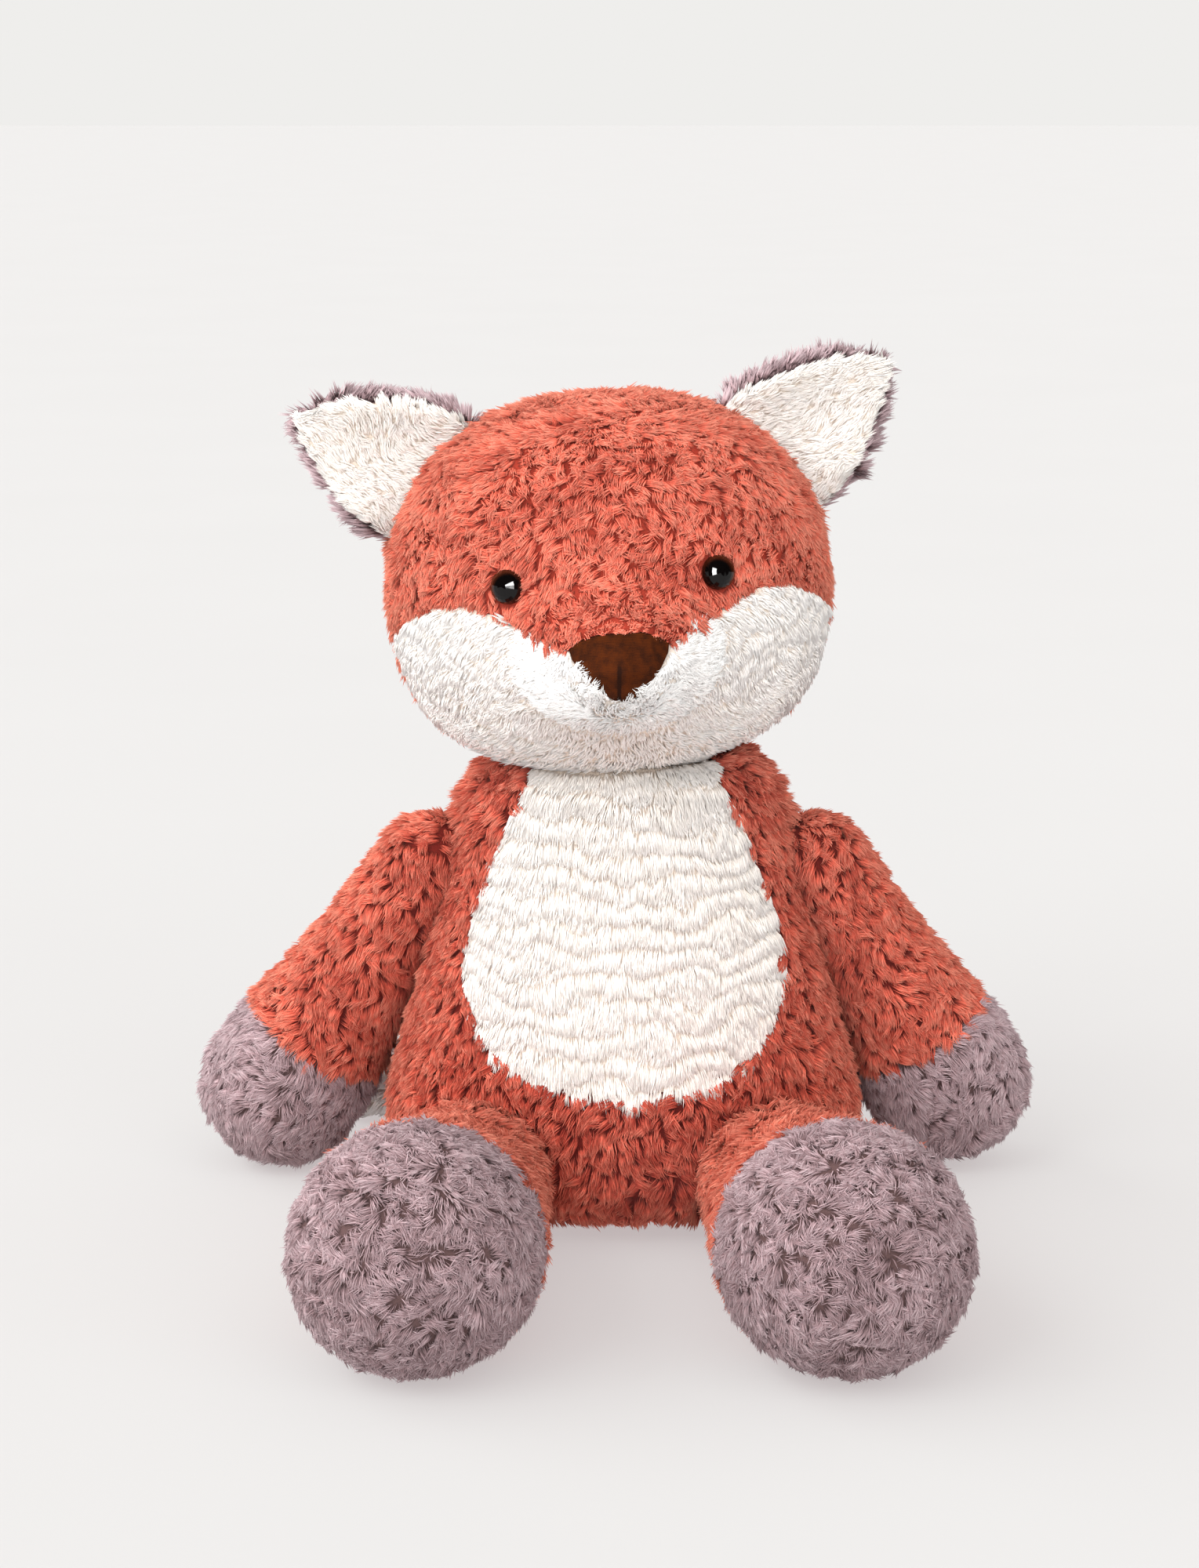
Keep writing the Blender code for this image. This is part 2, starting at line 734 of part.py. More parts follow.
def make_head():
    """The crown, face, muzzle and nose panels over one stuffed head, with eyes and ears."""
    turn = Matrix.Rotation(HEAD_YAW, 3, "Z") @ Matrix.Rotation(HEAD_ROLL, 3, "Y")
    head = pivot("neck_pivot", (0, 0, NECK_HEIGHT), turn)

    def surface(share, angle):
        return head_surface(share, angle) + Vector((HEAD_SHIFT, 0, HEAD_LIFT))

    def shifted(outline):
        return [(across + HEAD_SHIFT, up) for across, up in outline]

    def skin(name, look_name, look):
        shape = wrapped_sphere(surface, HEAD_RINGS, HEAD_SEGMENTS)
        return piece(name, shape, look_name, look, head)

    crown = skin("head_skin", "orange_fur", ORANGE)
    face = skin("face_panel", "cream_fur", CREAM)
    muzzle = skin("muzzle_panel", "white_fur", WHITE)
    proud = wrapped_sphere(surface, HEAD_RINGS, HEAD_SEGMENTS, -NOSE_PROUD)
    nose = piece("nose_panel", proud, "brown_velour", BROWN, head)
    core = wrapped_sphere(surface, HEAD_RINGS, HEAD_SEGMENTS, SKIN + 3 * SLACK)
    core = piece("head_stuffing", core, "wadding", WADDING, head)
    probe = wrapped_sphere(surface, HEAD_RINGS, HEAD_SEGMENTS)
    skull = BVHTree.FromBMesh(probe)
    probe.free()

    near, far = -HEAD_FRONT - OVERRUN, -FACE_SEAM_DEPTH
    cheeks = [
        (HEAD_HALF_WIDTH * a, HEAD_LIFT + HEAD_HALF_HEIGHT * b) for a, b in CHEEK_SHARES
    ]
    cheeks.append((cheeks[-1][0], HEAD_LIFT - HEAD_HALF_HEIGHT - OVERRUN))
    cheeks = shifted(mirrored(cheeks))
    steps = 28
    ring = [2 * math.pi * step / steps for step in range(steps)]
    snout = shifted(
        [
            (
                MUZZLE_PANEL_HALF_WIDTH * math.sin(angle),
                HEAD_LIFT - MUZZLE_PANEL_DROP + MUZZLE_PANEL_HALF_HEIGHT * math.cos(angle),
            )
            for angle in ring
        ]
    )
    tip = [
        (NOSE_HALF_WIDTH * a, HEAD_LIFT - NOSE_TOP_DROP + NOSE_HEIGHT * b)
        for a, b in NOSE_SHARES
    ]
    tip = shifted(mirrored(tip))
    face_in = cutter("face_outline", prism(cheeks, near, far), head)
    face_out = cutter("face_gap", prism(cheeks, near, far + CLEAR, CLEAR), head)
    deep = -0.5 * HEAD_FRONT
    snout_in = cutter("muzzle_outline", prism(snout, near, deep), head)
    snout_out = cutter("muzzle_gap", prism(snout, near, deep, CLEAR), head)
    tip_in = cutter("nose_outline", prism(tip, near, deep), head)
    tip_out = cutter("nose_gap", prism(tip, near, deep, CLEAR), head)
    neck = half_space("neck_above", (0, 0, NECK_HEIGHT + CLEAR), (0, 0, -1))

    for part in (crown, face, muzzle):
        hollow(part)
    hollow(nose, SKIN + NOSE_PROUD)
    for part in (crown, muzzle):
        trim(part, tip_out)
    trim(crown, face_out)
    trim(face, snout_out)
    trim(face, face_in, "INTERSECT")
    trim(muzzle, snout_in, "INTERSECT")
    trim(muzzle, face_in, "INTERSECT")
    trim(nose, tip_in, "INTERSECT")
    for part in (crown, face, core):
        trim(part, neck)
    soft = {"skins": [crown], "core": core}
    for side, sign in (("left", 1), ("right", -1)):
        make_eye(side, sign, skull, head, soft)
        make_ear(side, sign, skull, head, soft)


def shoulder_frame(sign):
    """The pivot's place on the body's flank, and the turn that lays its X along the flank's
    outward normal."""
    upper = [row for row in BODY_SHARES if row[0] * BODY_HEIGHT > SHOULDER_HEIGHT][-1]
    lower = [row for row in BODY_SHARES if row[0] > 0.2][-1]
    rise = BODY_HEIGHT * (upper[0] - lower[0])
    slope = math.atan2(BODY_HALF_WIDTH * (lower[1] - upper[1]), rise)
    out = BODY_HALF_WIDTH * upper[1] + (
        BODY_HEIGHT * upper[0] - SHOULDER_HEIGHT
    ) * math.tan(slope)
    normal = Vector((math.cos(slope), 0, math.sin(slope)))
    place = Vector((out, BODY_LEAN * upper[0], SHOULDER_HEIGHT)) - normal * SHOULDER_SINK
    place.x *= sign
    return place, Matrix.Rotation(-sign * slope, 3, "Y"), normal


def make_arm(side, sign, body_parts):
    """An arm: an orange sleeve and a mauve paw over stuffing, flat where it meets the body."""
    place, turn, normal = shoulder_frame(sign)
    shoulder = pivot(f"{side}_shoulder_pivot", place, turn)
    back = turn.inverted()
    outward = Vector((sign, 0, 0))
    root = outward * SHOULDER_REACH
    paw_world = Vector((sign * (BODY_HALF_WIDTH + PAW_OUT[side]), PAW_BACK, PAW_HEIGHT[side]))
    end = back @ (paw_world - place)
    sizes = (ARM_ROOT_RADIUS, ARM_ROOT_RADIUS)
    ends = (PAW_RADIUS * ARM_DEPTH_SHARE, PAW_RADIUS)
    surface, rings = limb_surface(
        root, end, sizes, ends, ARM_SHARES, Vector((0, 1, 0)), cap=3, shank=6
    )

    def skin(name, look_name, look):
        shape = wrapped_sphere(surface, rings, ARM_SEGMENTS)
        return piece(name, shape, look_name, look, shoulder)

    sleeve = skin(f"{side}_sleeve", "orange_fur", ORANGE)
    paw = skin(f"{side}_paw", "mauve_fur", MAUVE)
    core = wrapped_sphere(surface, rings, ARM_SEGMENTS // 2, SKIN + SLACK)
    core = piece(f"{side}_arm_stuffing", core, "wadding", WADDING, shoulder)
    hollow(sleeve)
    hollow(paw)
    way = end - root
    seam = root + way * PAW_SEAM_SHARE
    ahead = way.normalized()
    past = half_space(f"{side}_paw_side", seam - ahead * 0.5 * CLEAR, ahead, shoulder)
    short = half_space(f"{side}_sleeve_side", seam + ahead * 0.5 * CLEAR, -ahead, shoulder)
    trim(sleeve, past)
    trim(paw, short)
    inside = half_space(f"{side}_flank", outward * 0.5 * CLEAR, -outward, shoulder)
    for part in (sleeve, core):
        trim(part, inside)
    floor = half_space(f"{side}_paw_floor", (0, 0, 0), (0, 0, -1))
    trim(paw, floor)
    outside = half_space(f"{side}_arm_face", -outward * 0.5 * CLEAR, outward, shoulder)
    for part in body_parts:
        trim(part, outside)


def make_leg(side, sign, body_parts):
    """A leg: an orange tube and a mauve foot over stuffing, with a bag of pellets low in
    the foot. Its round root sits in a socket in the body and swings about the X axis."""
    place = Vector((sign * HIP_PLACE, -HIP_FORWARD, LEG_ROOT_RADIUS - PRESSED))
    hip = pivot(f"{side}_hip_pivot", place)
    foot = Vector((sign * FOOT_PLACE[side], -FOOT_FORWARD, FOOT_RADIUS - PRESSED)) - place
    sizes = (LEG_ROOT_WIDTH, LEG_ROOT_RADIUS)
    ends = (FOOT_RADIUS, FOOT_RADIUS)
    surface, rings = limb_surface(
        Vector((0, 0, 0)), foot, sizes, ends, LEG_SHARES, Vector((sign, 0, 0)), cap=4, shank=6
    )

    def skin(name, look_name, look):
        shape = wrapped_sphere(surface, rings, LEG_SEGMENTS)
        return piece(name, shape, look_name, look, hip)

    leg = skin(f"{side}_leg", "orange_fur", ORANGE)
    foot_skin = skin(f"{side}_foot", "mauve_fur", MAUVE)
    core = wrapped_sphere(surface, rings, LEG_SEGMENTS // 2, SKIN + SLACK)
    core = piece(f"{side}_leg_stuffing", core, "wadding", WADDING, hip)
    bag = wrapped_sphere(surface, rings, LEG_SEGMENTS // 2, SKIN + SLACK)
    bag = piece(f"{side}_foot_pellet_bag", bag, "bag_cloth", BAG_CLOTH, hip)
    hollow(leg)
    hollow(foot_skin)
    seam = foot * FOOT_SEAM_SHARE
    ahead = foot.normalized()
    past = half_space(f"{side}_foot_side", seam - ahead * 0.5 * CLEAR, ahead, hip)
    short = half_space(f"{side}_leg_side", seam + ahead * 0.5 * CLEAR, -ahead, hip)
    floor = half_space(f"{side}_leg_floor", (0, 0, 0), (0, 0, -1))
    trim(leg, past)
    trim(foot_skin, short)
    for part in (leg, foot_skin):
        trim(part, floor)

    toe_side = half_space(f"{side}_bag_back", foot * 0.5 * (1 + FOOT_SEAM_SHARE), -ahead, hip)
    above = half_space(f"{side}_bag_above", (0, 0, FOOT_BAG_HEIGHT), (0, 0, 1))
    trim(bag, above)
    trim(bag, toe_side)
    pocket = bmesh.new()
    bmesh.ops.create_cube(pocket, size=1.0)
    width = 2 * FOOT_RADIUS
    bmesh.ops.scale(pocket, verts=pocket.verts, vec=(width, width, width))
    near_edge = foot * 0.5 * (1 + FOOT_SEAM_SHARE) - ahead * CLEAR
    turn = Vector((0, -1, 0)).rotation_difference(Vector((ahead.x, ahead.y, 0))).to_matrix()
    shift = Matrix.Translation(
        (
            near_edge.x,
            near_edge.y,
            FOOT_BAG_HEIGHT + CLEAR - FOOT_RADIUS - place.z,
        )
    )
    lead = Matrix.Translation((0, -FOOT_RADIUS, 0))
    bmesh.ops.transform(pocket, verts=pocket.verts, matrix=shift @ turn.to_4x4() @ lead)
    trim(core, cutter(f"{side}_bag_pocket", pocket, hip))

    headings = []
    for step in range(FAN_STEPS + 1):
        tilt = -LEG_DOWN + (LEG_DOWN + LEG_UP) * step / FAN_STEPS
        flat = Vector((ahead.x, ahead.y)).normalized()
        headings.append((flat.x * math.cos(tilt), flat.y * math.cos(tilt), math.sin(tilt)))
    radii = (LEG_ROOT_WIDTH, LEG_ROOT_RADIUS, LEG_ROOT_RADIUS)
    socket = fan(f"{side}_hip_socket", place, radii, headings, HIP_FAN_GROWTH)
    for part in body_parts:
        trim(part, socket)


def make_tail(body_parts):
    """A tail that lies on the floor behind and curls round to the fox's right, orange to
    its seam and cream beyond it. Its round root swings about the Z axis."""
    place = Vector((0, TAIL_ROOT_BACK, TAIL_ROOT_HEIGHT))
    rump = pivot("tail_pivot", place)
    bend = TAIL_LENGTH / TAIL_CURL
    cap = 4
    shank = 7
    places = limb_rings(cap, shank)

    def centre(share):
        """The tail's middle line in plan, an arc, sinking until the tail lies on the floor."""
        heading = TAIL_HEADING + TAIL_CURL * share
        radius = TAIL_RADIUS * along_values(TAIL_SHARES, min(max(share, 0.0), 1.0))
        drop = radius - PRESSED - TAIL_ROOT_HEIGHT
        settle = min(1.0, 2 * share) if share > 0 else 0.0
        return (
            Vector(
                (
                    bend * (math.cos(heading) - math.cos(TAIL_HEADING)),
                    bend * (math.sin(heading) - math.sin(TAIL_HEADING)),
                    drop * settle,
                )
            ),
            Vector((-math.sin(heading), math.cos(heading), 0)),
            radius,
        )

    def surface(share, angle):
        kind, value = places[round(share * (len(places) - 1))]
        if kind == "root":
            middle, ahead, _ = centre(0.0)
            middle = middle - ahead * TAIL_ROOT_RADIUS * math.cos(value)
            radius = TAIL_ROOT_RADIUS * math.sin(value)
        elif kind == "end":
            middle, ahead, radius = centre(1.0)
            tip = TAIL_RADIUS * TAIL_TIP_SHARE * 2
            middle = middle + ahead * tip * math.sin(value)
            radius = radius * math.cos(value)
            middle.z -= (TAIL_RADIUS * TAIL_SHARES[-1] - radius) * 0.6 * math.sin(value)
        else:
            middle, ahead, radius = centre(value)
        across = Vector((ahead.y, -ahead.x, 0))
        return (
            middle
            + across * radius * math.cos(angle)
            + Vector((0, 0, radius * math.sin(angle)))
        )

    rings = len(places) - 1

    def skin(name, look_name, look):
        shape = wrapped_sphere(surface, rings, TAIL_SEGMENTS)
        return piece(name, shape, look_name, look, rump)

    base = skin("tail_base", "orange_fur", ORANGE)
    tip = skin("tail_tip", "cream_fur", CREAM)
    core = wrapped_sphere(surface, rings, TAIL_SEGMENTS // 2, SKIN + SLACK)
    core = piece("tail_stuffing", core, "wadding", WADDING, rump)
    hollow(base)
    hollow(tip)
    seam, ahead, _ = centre(TAIL_SEAM_SHARE)
    tip_box, base_box = bmesh.new(), bmesh.new()
    for box, way in ((tip_box, 1), (base_box, -1)):
        bmesh.ops.create_cube(box, size=1.0)
        span = TAIL_LENGTH
        bmesh.ops.scale(box, verts=box.verts, vec=(span, span, span))
        turn = Vector((0, 1, 0)).rotation_difference(ahead * way).to_matrix().to_4x4()
        start = seam - ahead * way * 0.5 * CLEAR
        lead = Matrix.Translation((0, 0.5 * span, 0))
        shift = Matrix.Translation(start)
        bmesh.ops.transform(box, verts=box.verts, matrix=shift @ turn @ lead)
    trim(base, cutter("tail_tip_side", tip_box, rump))
    trim(tip, cutter("tail_base_side", base_box, rump))
    floor = half_space("tail_floor", (0, 0, 0), (0, 0, -1))
    trim(base, floor)
    trim(tip, floor)

    headings = []
    for step in range(FAN_STEPS + 1):
        aim = TAIL_HEADING + TAIL_IN - (TAIL_IN + TAIL_OUT) * step / FAN_STEPS
        headings.append((-math.sin(aim), math.cos(aim), 0))
    radii = (TAIL_ROOT_RADIUS, TAIL_ROOT_RADIUS, TAIL_ROOT_RADIUS)
    socket = fan("tail_socket", place, radii, headings, TAIL_FAN_GROWTH)
    for part in body_parts:
        trim(part, socket)


empty_scene()
FOX = new_collection("plush_fox")
CUTTERS = new_collection("cutters", wired=True)
body_skin, belly_panel, body_stuffing = make_body()
make_head()
for body_side, body_sign in (("left", 1), ("right", -1)):
    make_arm(body_side, body_sign, (body_skin, body_stuffing))
    make_leg(body_side, body_sign, (body_skin, body_stuffing))
make_tail((body_skin, body_stuffing))
bpy.context.view_layer.update()
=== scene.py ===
import math

import bmesh
import bpy
import numpy as np
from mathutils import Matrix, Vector, bvhtree, kdtree


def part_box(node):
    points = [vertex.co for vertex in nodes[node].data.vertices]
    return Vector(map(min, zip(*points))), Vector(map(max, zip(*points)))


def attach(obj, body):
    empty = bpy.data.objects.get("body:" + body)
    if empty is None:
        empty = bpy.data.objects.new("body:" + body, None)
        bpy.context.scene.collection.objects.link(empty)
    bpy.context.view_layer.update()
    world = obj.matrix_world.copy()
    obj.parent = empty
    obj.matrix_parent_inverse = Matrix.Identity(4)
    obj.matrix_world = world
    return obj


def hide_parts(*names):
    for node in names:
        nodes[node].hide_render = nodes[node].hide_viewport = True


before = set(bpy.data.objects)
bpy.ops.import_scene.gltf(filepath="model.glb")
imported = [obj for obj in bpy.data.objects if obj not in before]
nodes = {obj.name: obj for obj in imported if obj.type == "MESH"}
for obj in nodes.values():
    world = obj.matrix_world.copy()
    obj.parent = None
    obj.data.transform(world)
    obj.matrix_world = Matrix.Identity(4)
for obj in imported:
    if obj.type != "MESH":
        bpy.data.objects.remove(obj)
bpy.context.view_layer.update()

MM = 0.001
CM2 = 1e-4
SIDES = ("left", "right")


# Camera and studio.
# The toy sits on a seamless pale sweep, shot from a little above its head with a long
# lens, in broad soft light from over and around it. A small lamp only glints in its eyes.
CAMERA_PLACE = (-0.0124, -1.5656, 0.5702)
CAMERA_TILT = 0.22235
CAMERA_LENS = 71.4
CAMERA_REACH = 200
SURROUND = (0.863, 0.855, 0.838, 1.0)
# name, power, spread and turn in degrees, whether it is mirrored, whether it lights
SOFTBOXES = (
    ("key", 1.2, 34, (48, -4, -44), False, True),
    ("hood", 0.4, 100, (52, 0, -30), False, True),
    ("fill", 3.9, 130, (92, 0, 12), False, True),
    ("kicker", 2.7, 70, (66, 0, -98), False, True),
    ("catchlight", 11.0, 30, (75, 0, -7), True, False),
)
SWEEP_HALF = 40.0
SWEEP_SHADE = (0.208, 0.226, 0.220)
# painted light: the sweep glows a little, pinker than its paper, lifting the shadows cast on it
# and tinting them pink
SWEEP_GLOW = (0.495, 0.448, 0.450, 1.0)
SWEEP_GRAIN = 0.006
SWEEP_GRAIN_SCALE = 3.0

lens = bpy.data.cameras.new("camera")
lens.lens = CAMERA_LENS
lens.clip_end = CAMERA_REACH
camera = bpy.data.objects.new("camera", lens)
camera.location = CAMERA_PLACE
camera.rotation_euler = (math.pi / 2 - CAMERA_TILT, 0, 0)
bpy.context.scene.collection.objects.link(camera)
bpy.context.scene.camera = camera
bpy.context.scene.view_settings.view_transform = "Standard"

surround = bpy.data.worlds.new("surround")
surround.use_nodes = True
surround.node_tree.nodes["Background"].inputs["Color"].default_value = SURROUND
surround.cycles_visibility.glossy = False
bpy.context.scene.world = surround

for name, power, spread, turn, mirrored, lighting in SOFTBOXES:
    softbox = bpy.data.lights.new(name, "SUN")
    softbox.energy = power
    softbox.angle = math.radians(spread)
    stand = bpy.data.objects.new(name, softbox)
    stand.rotation_euler = [math.radians(a) for a in turn]
    stand.visible_glossy = mirrored
    stand.visible_diffuse = lighting
    bpy.context.scene.collection.objects.link(stand)


class Dye:
    """A value in a material's nodes. Sums written with it become Math nodes of that material."""

    def __init__(self, tree, socket=None):
        self.tree = tree
        self.socket = socket

    def node(self, kind, settings, inputs, output=0):
        made = self.tree.nodes.new("ShaderNode" + kind)
        for name, value in settings.items():
            if name == "stops":
                ramp = made.color_ramp
                while len(ramp.elements) < len(value):
                    ramp.elements.new(0.5)
                for stop, (place, colour) in zip(ramp.elements, value):
                    stop.position = place
                    stop.color = colour
            else:
                setattr(made, name, value)
        for name, value in inputs.items():
            if isinstance(value, Dye):
                self.tree.links.new(value.socket, made.inputs[name])
            else:
                made.inputs[name].default_value = value
        return Dye(self.tree, made.outputs[output]) if made.outputs else None

    def part(self, output):
        """Another output of the node that this value comes from."""
        return Dye(self.tree, self.socket.node.outputs[output])

    def maths(self, operation, first, second=0.0):
        return self.node("Math", {"operation": operation}, {0: first, 1: second})

    def __add__(self, other):
        return self.maths("ADD", self, other)

    def __radd__(self, other):
        return self.maths("ADD", other, self)

    def __sub__(self, other):
        return self.maths("SUBTRACT", self, other)

    def __rsub__(self, other):
        return self.maths("SUBTRACT", other, self)

    def __mul__(self, other):
        return self.maths("MULTIPLY", self, other)

    def clipped(self, low, high):
        """0 below low and 1 above high, with a soft step between."""
        step = {"interpolation_type": "SMOOTHSTEP"}
        return self.node("MapRange", step, {"Value": self, "From Min": low, "From Max": high})

    def mixed(self, first, second):
        """The first colour where this value is 0, the second where it is 1."""
        return self.node("Mix", {"data_type": "RGBA"}, {0: self, 6: first, 7: second}, 2)


def new_dye(name):
    """A new material with no nodes yet, and a Dye to write them with."""
    material = bpy.data.materials.new(name)
    material.use_nodes = True
    material.node_tree.nodes.clear()
    return material, Dye(material.node_tree)


def fixed(dye, inputs):
    """Ends a recipe: the Principled shader with these inputs, wired to the material's output."""
    shader = dye.node("BsdfPrincipled", {}, inputs)
    dye.node("OutputMaterial", {}, {"Surface": shader})


sweep_dye, dye = new_dye("sweep_paper")
place = dye.node("TexCoord", {}, {}, "Object")
grain = dye.node("TexNoise", {}, {"Vector": place, "Scale": SWEEP_GRAIN_SCALE})
paper = grain.mixed(
    tuple(c - SWEEP_GRAIN for c in SWEEP_SHADE) + (1.0,),
    tuple(c + SWEEP_GRAIN for c in SWEEP_SHADE) + (1.0,),
)
fixed(dye, {
    "Base Color": paper,
    "Roughness": 0.9,
    "Specular IOR Level": 0.0,
    # the glow is painted light that lifts and pinks the shadows on the sweep
    "Emission Color": SWEEP_GLOW,
    "Emission Strength": 1.0,
})

sweep_shape = bmesh.new()
bmesh.ops.create_grid(sweep_shape, x_segments=1, y_segments=1, size=SWEEP_HALF)
sweep_mesh = bpy.data.meshes.new("sweep")
sweep_shape.to_mesh(sweep_mesh)
sweep_shape.free()
sweep_mesh.materials.append(sweep_dye)
sweep = bpy.data.objects.new("sweep", sweep_mesh)
bpy.context.scene.collection.objects.link(sweep)


# Body.
# A stuffed bag of knitted backing with a long soft pile in rust orange, sewn up
# the back, with a cream oval let into the front whose pile lies in level ridges.
BACKING_MERGE = 0.01 * MM
BACKING_LOOPS = 900.0
BACKING_MOTTLE = 60.0
BACKING_RELIEF = 0.4 * MM

# one strand: where it bends, how far it arches, how deep it is rooted, its width on the UV map
STRAND_BEND = 0.42
STRAND_ARCH = 0.10
STRAND_ROOT = 0.6 * MM
STRAND_STRIP = 1 / 512
STRANDS_APIECE = 48000

# where pile grows: the free room that it looks for, thinner at the back and underneath
ROOM = 12 * MM
LEAST_ROOM = 1.5 * MM
FLOOR_CLEAR = 0.2 * MM
PROBE_SPREAD = 0.7
FLAT_SHARE = 0.2
BACK_SHARE = 0.26
BACK_FROM = 0.3
UNDER_FROM = -0.75

# how strands and tufts differ, as shares unless they are lengths
TUFT_LENGTHS = (0.78, 1.18)
TUFT_LEANS = (0.6, 1.45)
FIBRE_LENGTHS = (0.82, 1.12)
FIBRE_WIDTHS = (0.7, 1.3)
FRINGE = 0.75 * MM
TUFT_TINTS = 0.09
FIBRE_TINTS = 0.22
TUFT_SHADE_FROM = 0.4
TINT_PATCH = 26 * MM
TINT_STEPS = 8
RIPPLE_WAVES = 8
RIPPLE_PACES = (0.6, 1.5)
RIPPLE_HEIGHT = 2.6

# rows: how a ridge wanders and crumples, overlaps the next and lifts, and its painted shade,
# darkest where it starts under the ridge above
ROW_WANDER = 38 * MM
ROW_CRUMPLE = 11 * MM
ROW_CRUMPLE_SHARE = 0.3
ROW_OVERLAPS = (0.3, 1.0)
ROW_LEAST_REACH = 0.22
ROW_MOST_REACH = 1.15
ROW_LEAN = 0.7
ROW_LIFT = 0.8
ROW_MIDDLE = 0.45
ROW_SHADE = 0.4

# the fuller pile round the tops of the arms
SHOULDER_AREA = 24 * MM
SHOULDER_FULL = 1.4
SHOULDER_LONGER = 0.65
SHOULDER_STEEPER = 1.5

# each pile dye runs root, middle, tip; its darker root is painted shade deep in the pile
ORANGE_DEEP = ((66, 10, 5), (150, 46, 31), (188, 74, 55))
ORANGE_PALE = ((146, 42, 28), (232, 108, 84), (255, 166, 140))
# each backing is dyed darker than its pile: painted shade in the gaps between tufts
ORANGE_BACKING_PAINTED_SHADE = ((74, 12, 7), (120, 32, 22))
CREAM_DEEP = ((218, 200, 183), (235, 228, 221), (242, 237, 232))
CREAM_PALE = ((240, 229, 219), (250, 246, 243), (252, 249, 247))
CREAM_BACKING_PAINTED_SHADE = ((228, 210, 193), (240, 227, 214))


def shade(rgb):
    """A dye's 0-255 shade as the linear colour that a shader takes."""
    linear = [c / 255 / 12.92 if c < 10.3 else ((c / 255 + 0.055) / 1.055) ** 2.4 for c in rgb]
    return (*linear, 1.0)


def pile_dye(name, deep, pale, sheen=0.12):
    """Pile fibre: darker at the root than at the tip, as painted shade deep in the pile; each
    strand a tint between two dyes.
    """
    material, dye = new_dye(name)
    place = dye.node("UVMap", {"uv_map": "OFBake"}, {})
    fibre = dye.node("SeparateXYZ", {}, {0: place})
    along = fibre.part("Y")
    root_middle_tip = (0.05, 0.5, 1.0)
    ends = []
    for shades in (deep, pale):
        stops = [(step, shade(colour)) for step, colour in zip(root_middle_tip, shades)]
        ends.append(dye.node("ValToRGB", {"stops": stops}, {0: along}))
    fixed(dye, {
        "Base Color": fibre.mixed(*ends),
        "Roughness": 0.8,
        "Specular IOR Level": 0.12,
        "Sheen Weight": sheen,
        "Sheen Roughness": 0.5,
        "Sheen Tint": shade(pale[2]),
    })
    return material


def backing_dye(name, colours):
    """Knitted backing seen between the tufts, in the colours given, mottled and with a fine looped
    grain. The pile's backings are dyed darker than their pile, as painted shade in the gaps.
    """
    material, dye = new_dye(name)
    place = dye.node("TexCoord", {}, {}, "Object")
    mottle = dye.node("TexNoise", {}, {"Vector": place, "Scale": BACKING_MOTTLE, "Detail": 4.0})
    loops = dye.node("TexVoronoi", {}, {"Vector": place, "Scale": BACKING_LOOPS})
    bump = dye.node("Bump", {}, {"Height": loops, "Strength": 0.6, "Distance": BACKING_RELIEF})
    fixed(dye, {
        "Base Color": mottle.mixed(*(shade(c) for c in colours)),
        "Roughness": 0.95,
        "Normal": bump,
        "Specular IOR Level": 0.1,
    })
    return material


def merged(node):
    """A CAD node's form as a bmesh with its triangles joined."""
    form = bmesh.new()
    form.from_mesh(nodes[node].data)
    bmesh.ops.remove_doubles(form, verts=form.verts, dist=BACKING_MERGE)
    form.normal_update()
    return form


def sewn(node, name, body, material):
    """The stuffed piece itself, in place of the CAD node, shaded as one soft surface."""
    form = merged(node)
    bmesh.ops.subdivide_edges(form, edges=form.edges, cuts=1, smooth=0.0, use_grid_fill=True)
    bmesh.ops.triangulate(form, faces=[f for f in form.faces if len(f.verts) > 4])
    mesh = bpy.data.meshes.new(name)
    form.to_mesh(mesh)
    form.free()
    mesh.polygons.foreach_set("use_smooth", [True] * len(mesh.polygons))
    mesh.materials.append(material)
    piece = bpy.data.objects.new(name, mesh)
    bpy.context.scene.collection.objects.link(piece)
    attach(piece, body)
    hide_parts(node)
    return piece


def solids_tree():
    """Every CAD solid at rest, and which faces are filling, for the free room over a root."""
    places, faces, filling = [], [], []
    for name, solid in nodes.items():
        start = len(places)
        places += [v.co.copy() for v in solid.data.vertices]
        faces += [[start + v for v in f.vertices] for f in solid.data.polygons]
        filling += [name.endswith(("stuffing", "bag"))] * len(solid.data.polygons)
    return bvhtree.BVHTree.FromPolygons(places, faces), filling


solids, filling = solids_tree()


def unit(vectors):
    """Each vector at length 1."""
    return vectors / np.maximum(np.linalg.norm(vectors, axis=1, keepdims=True), 1e-9)


def ripple(places, size, seed):
    """A smooth wandering value from about -1 to 1 that changes over `size` metres."""
    rng = np.random.default_rng(seed)
    ways = unit(rng.normal(size=(RIPPLE_WAVES, 3)))
    waves = ways * (2 * np.pi / size) * rng.uniform(*RIPPLE_PACES, (RIPPLE_WAVES, 1))
    starts = rng.uniform(0, 2 * np.pi, RIPPLE_WAVES)
    return np.sin(places @ waves.T + starts).sum(1) / RIPPLE_HEIGHT


def free_room(places, normals):
    """How far each place can see before the next solid, and nothing where that is filling."""
    room = np.full(len(places), ROOM)
    for i, (p, n) in enumerate(zip(places + normals * FLOOR_CLEAR, normals)):
        hit = solids.ray_cast(Vector(p), Vector(n), ROOM)
        if hit[3] is not None:
            room[i] = 0 if filling[hit[2]] else hit[3]
    return room


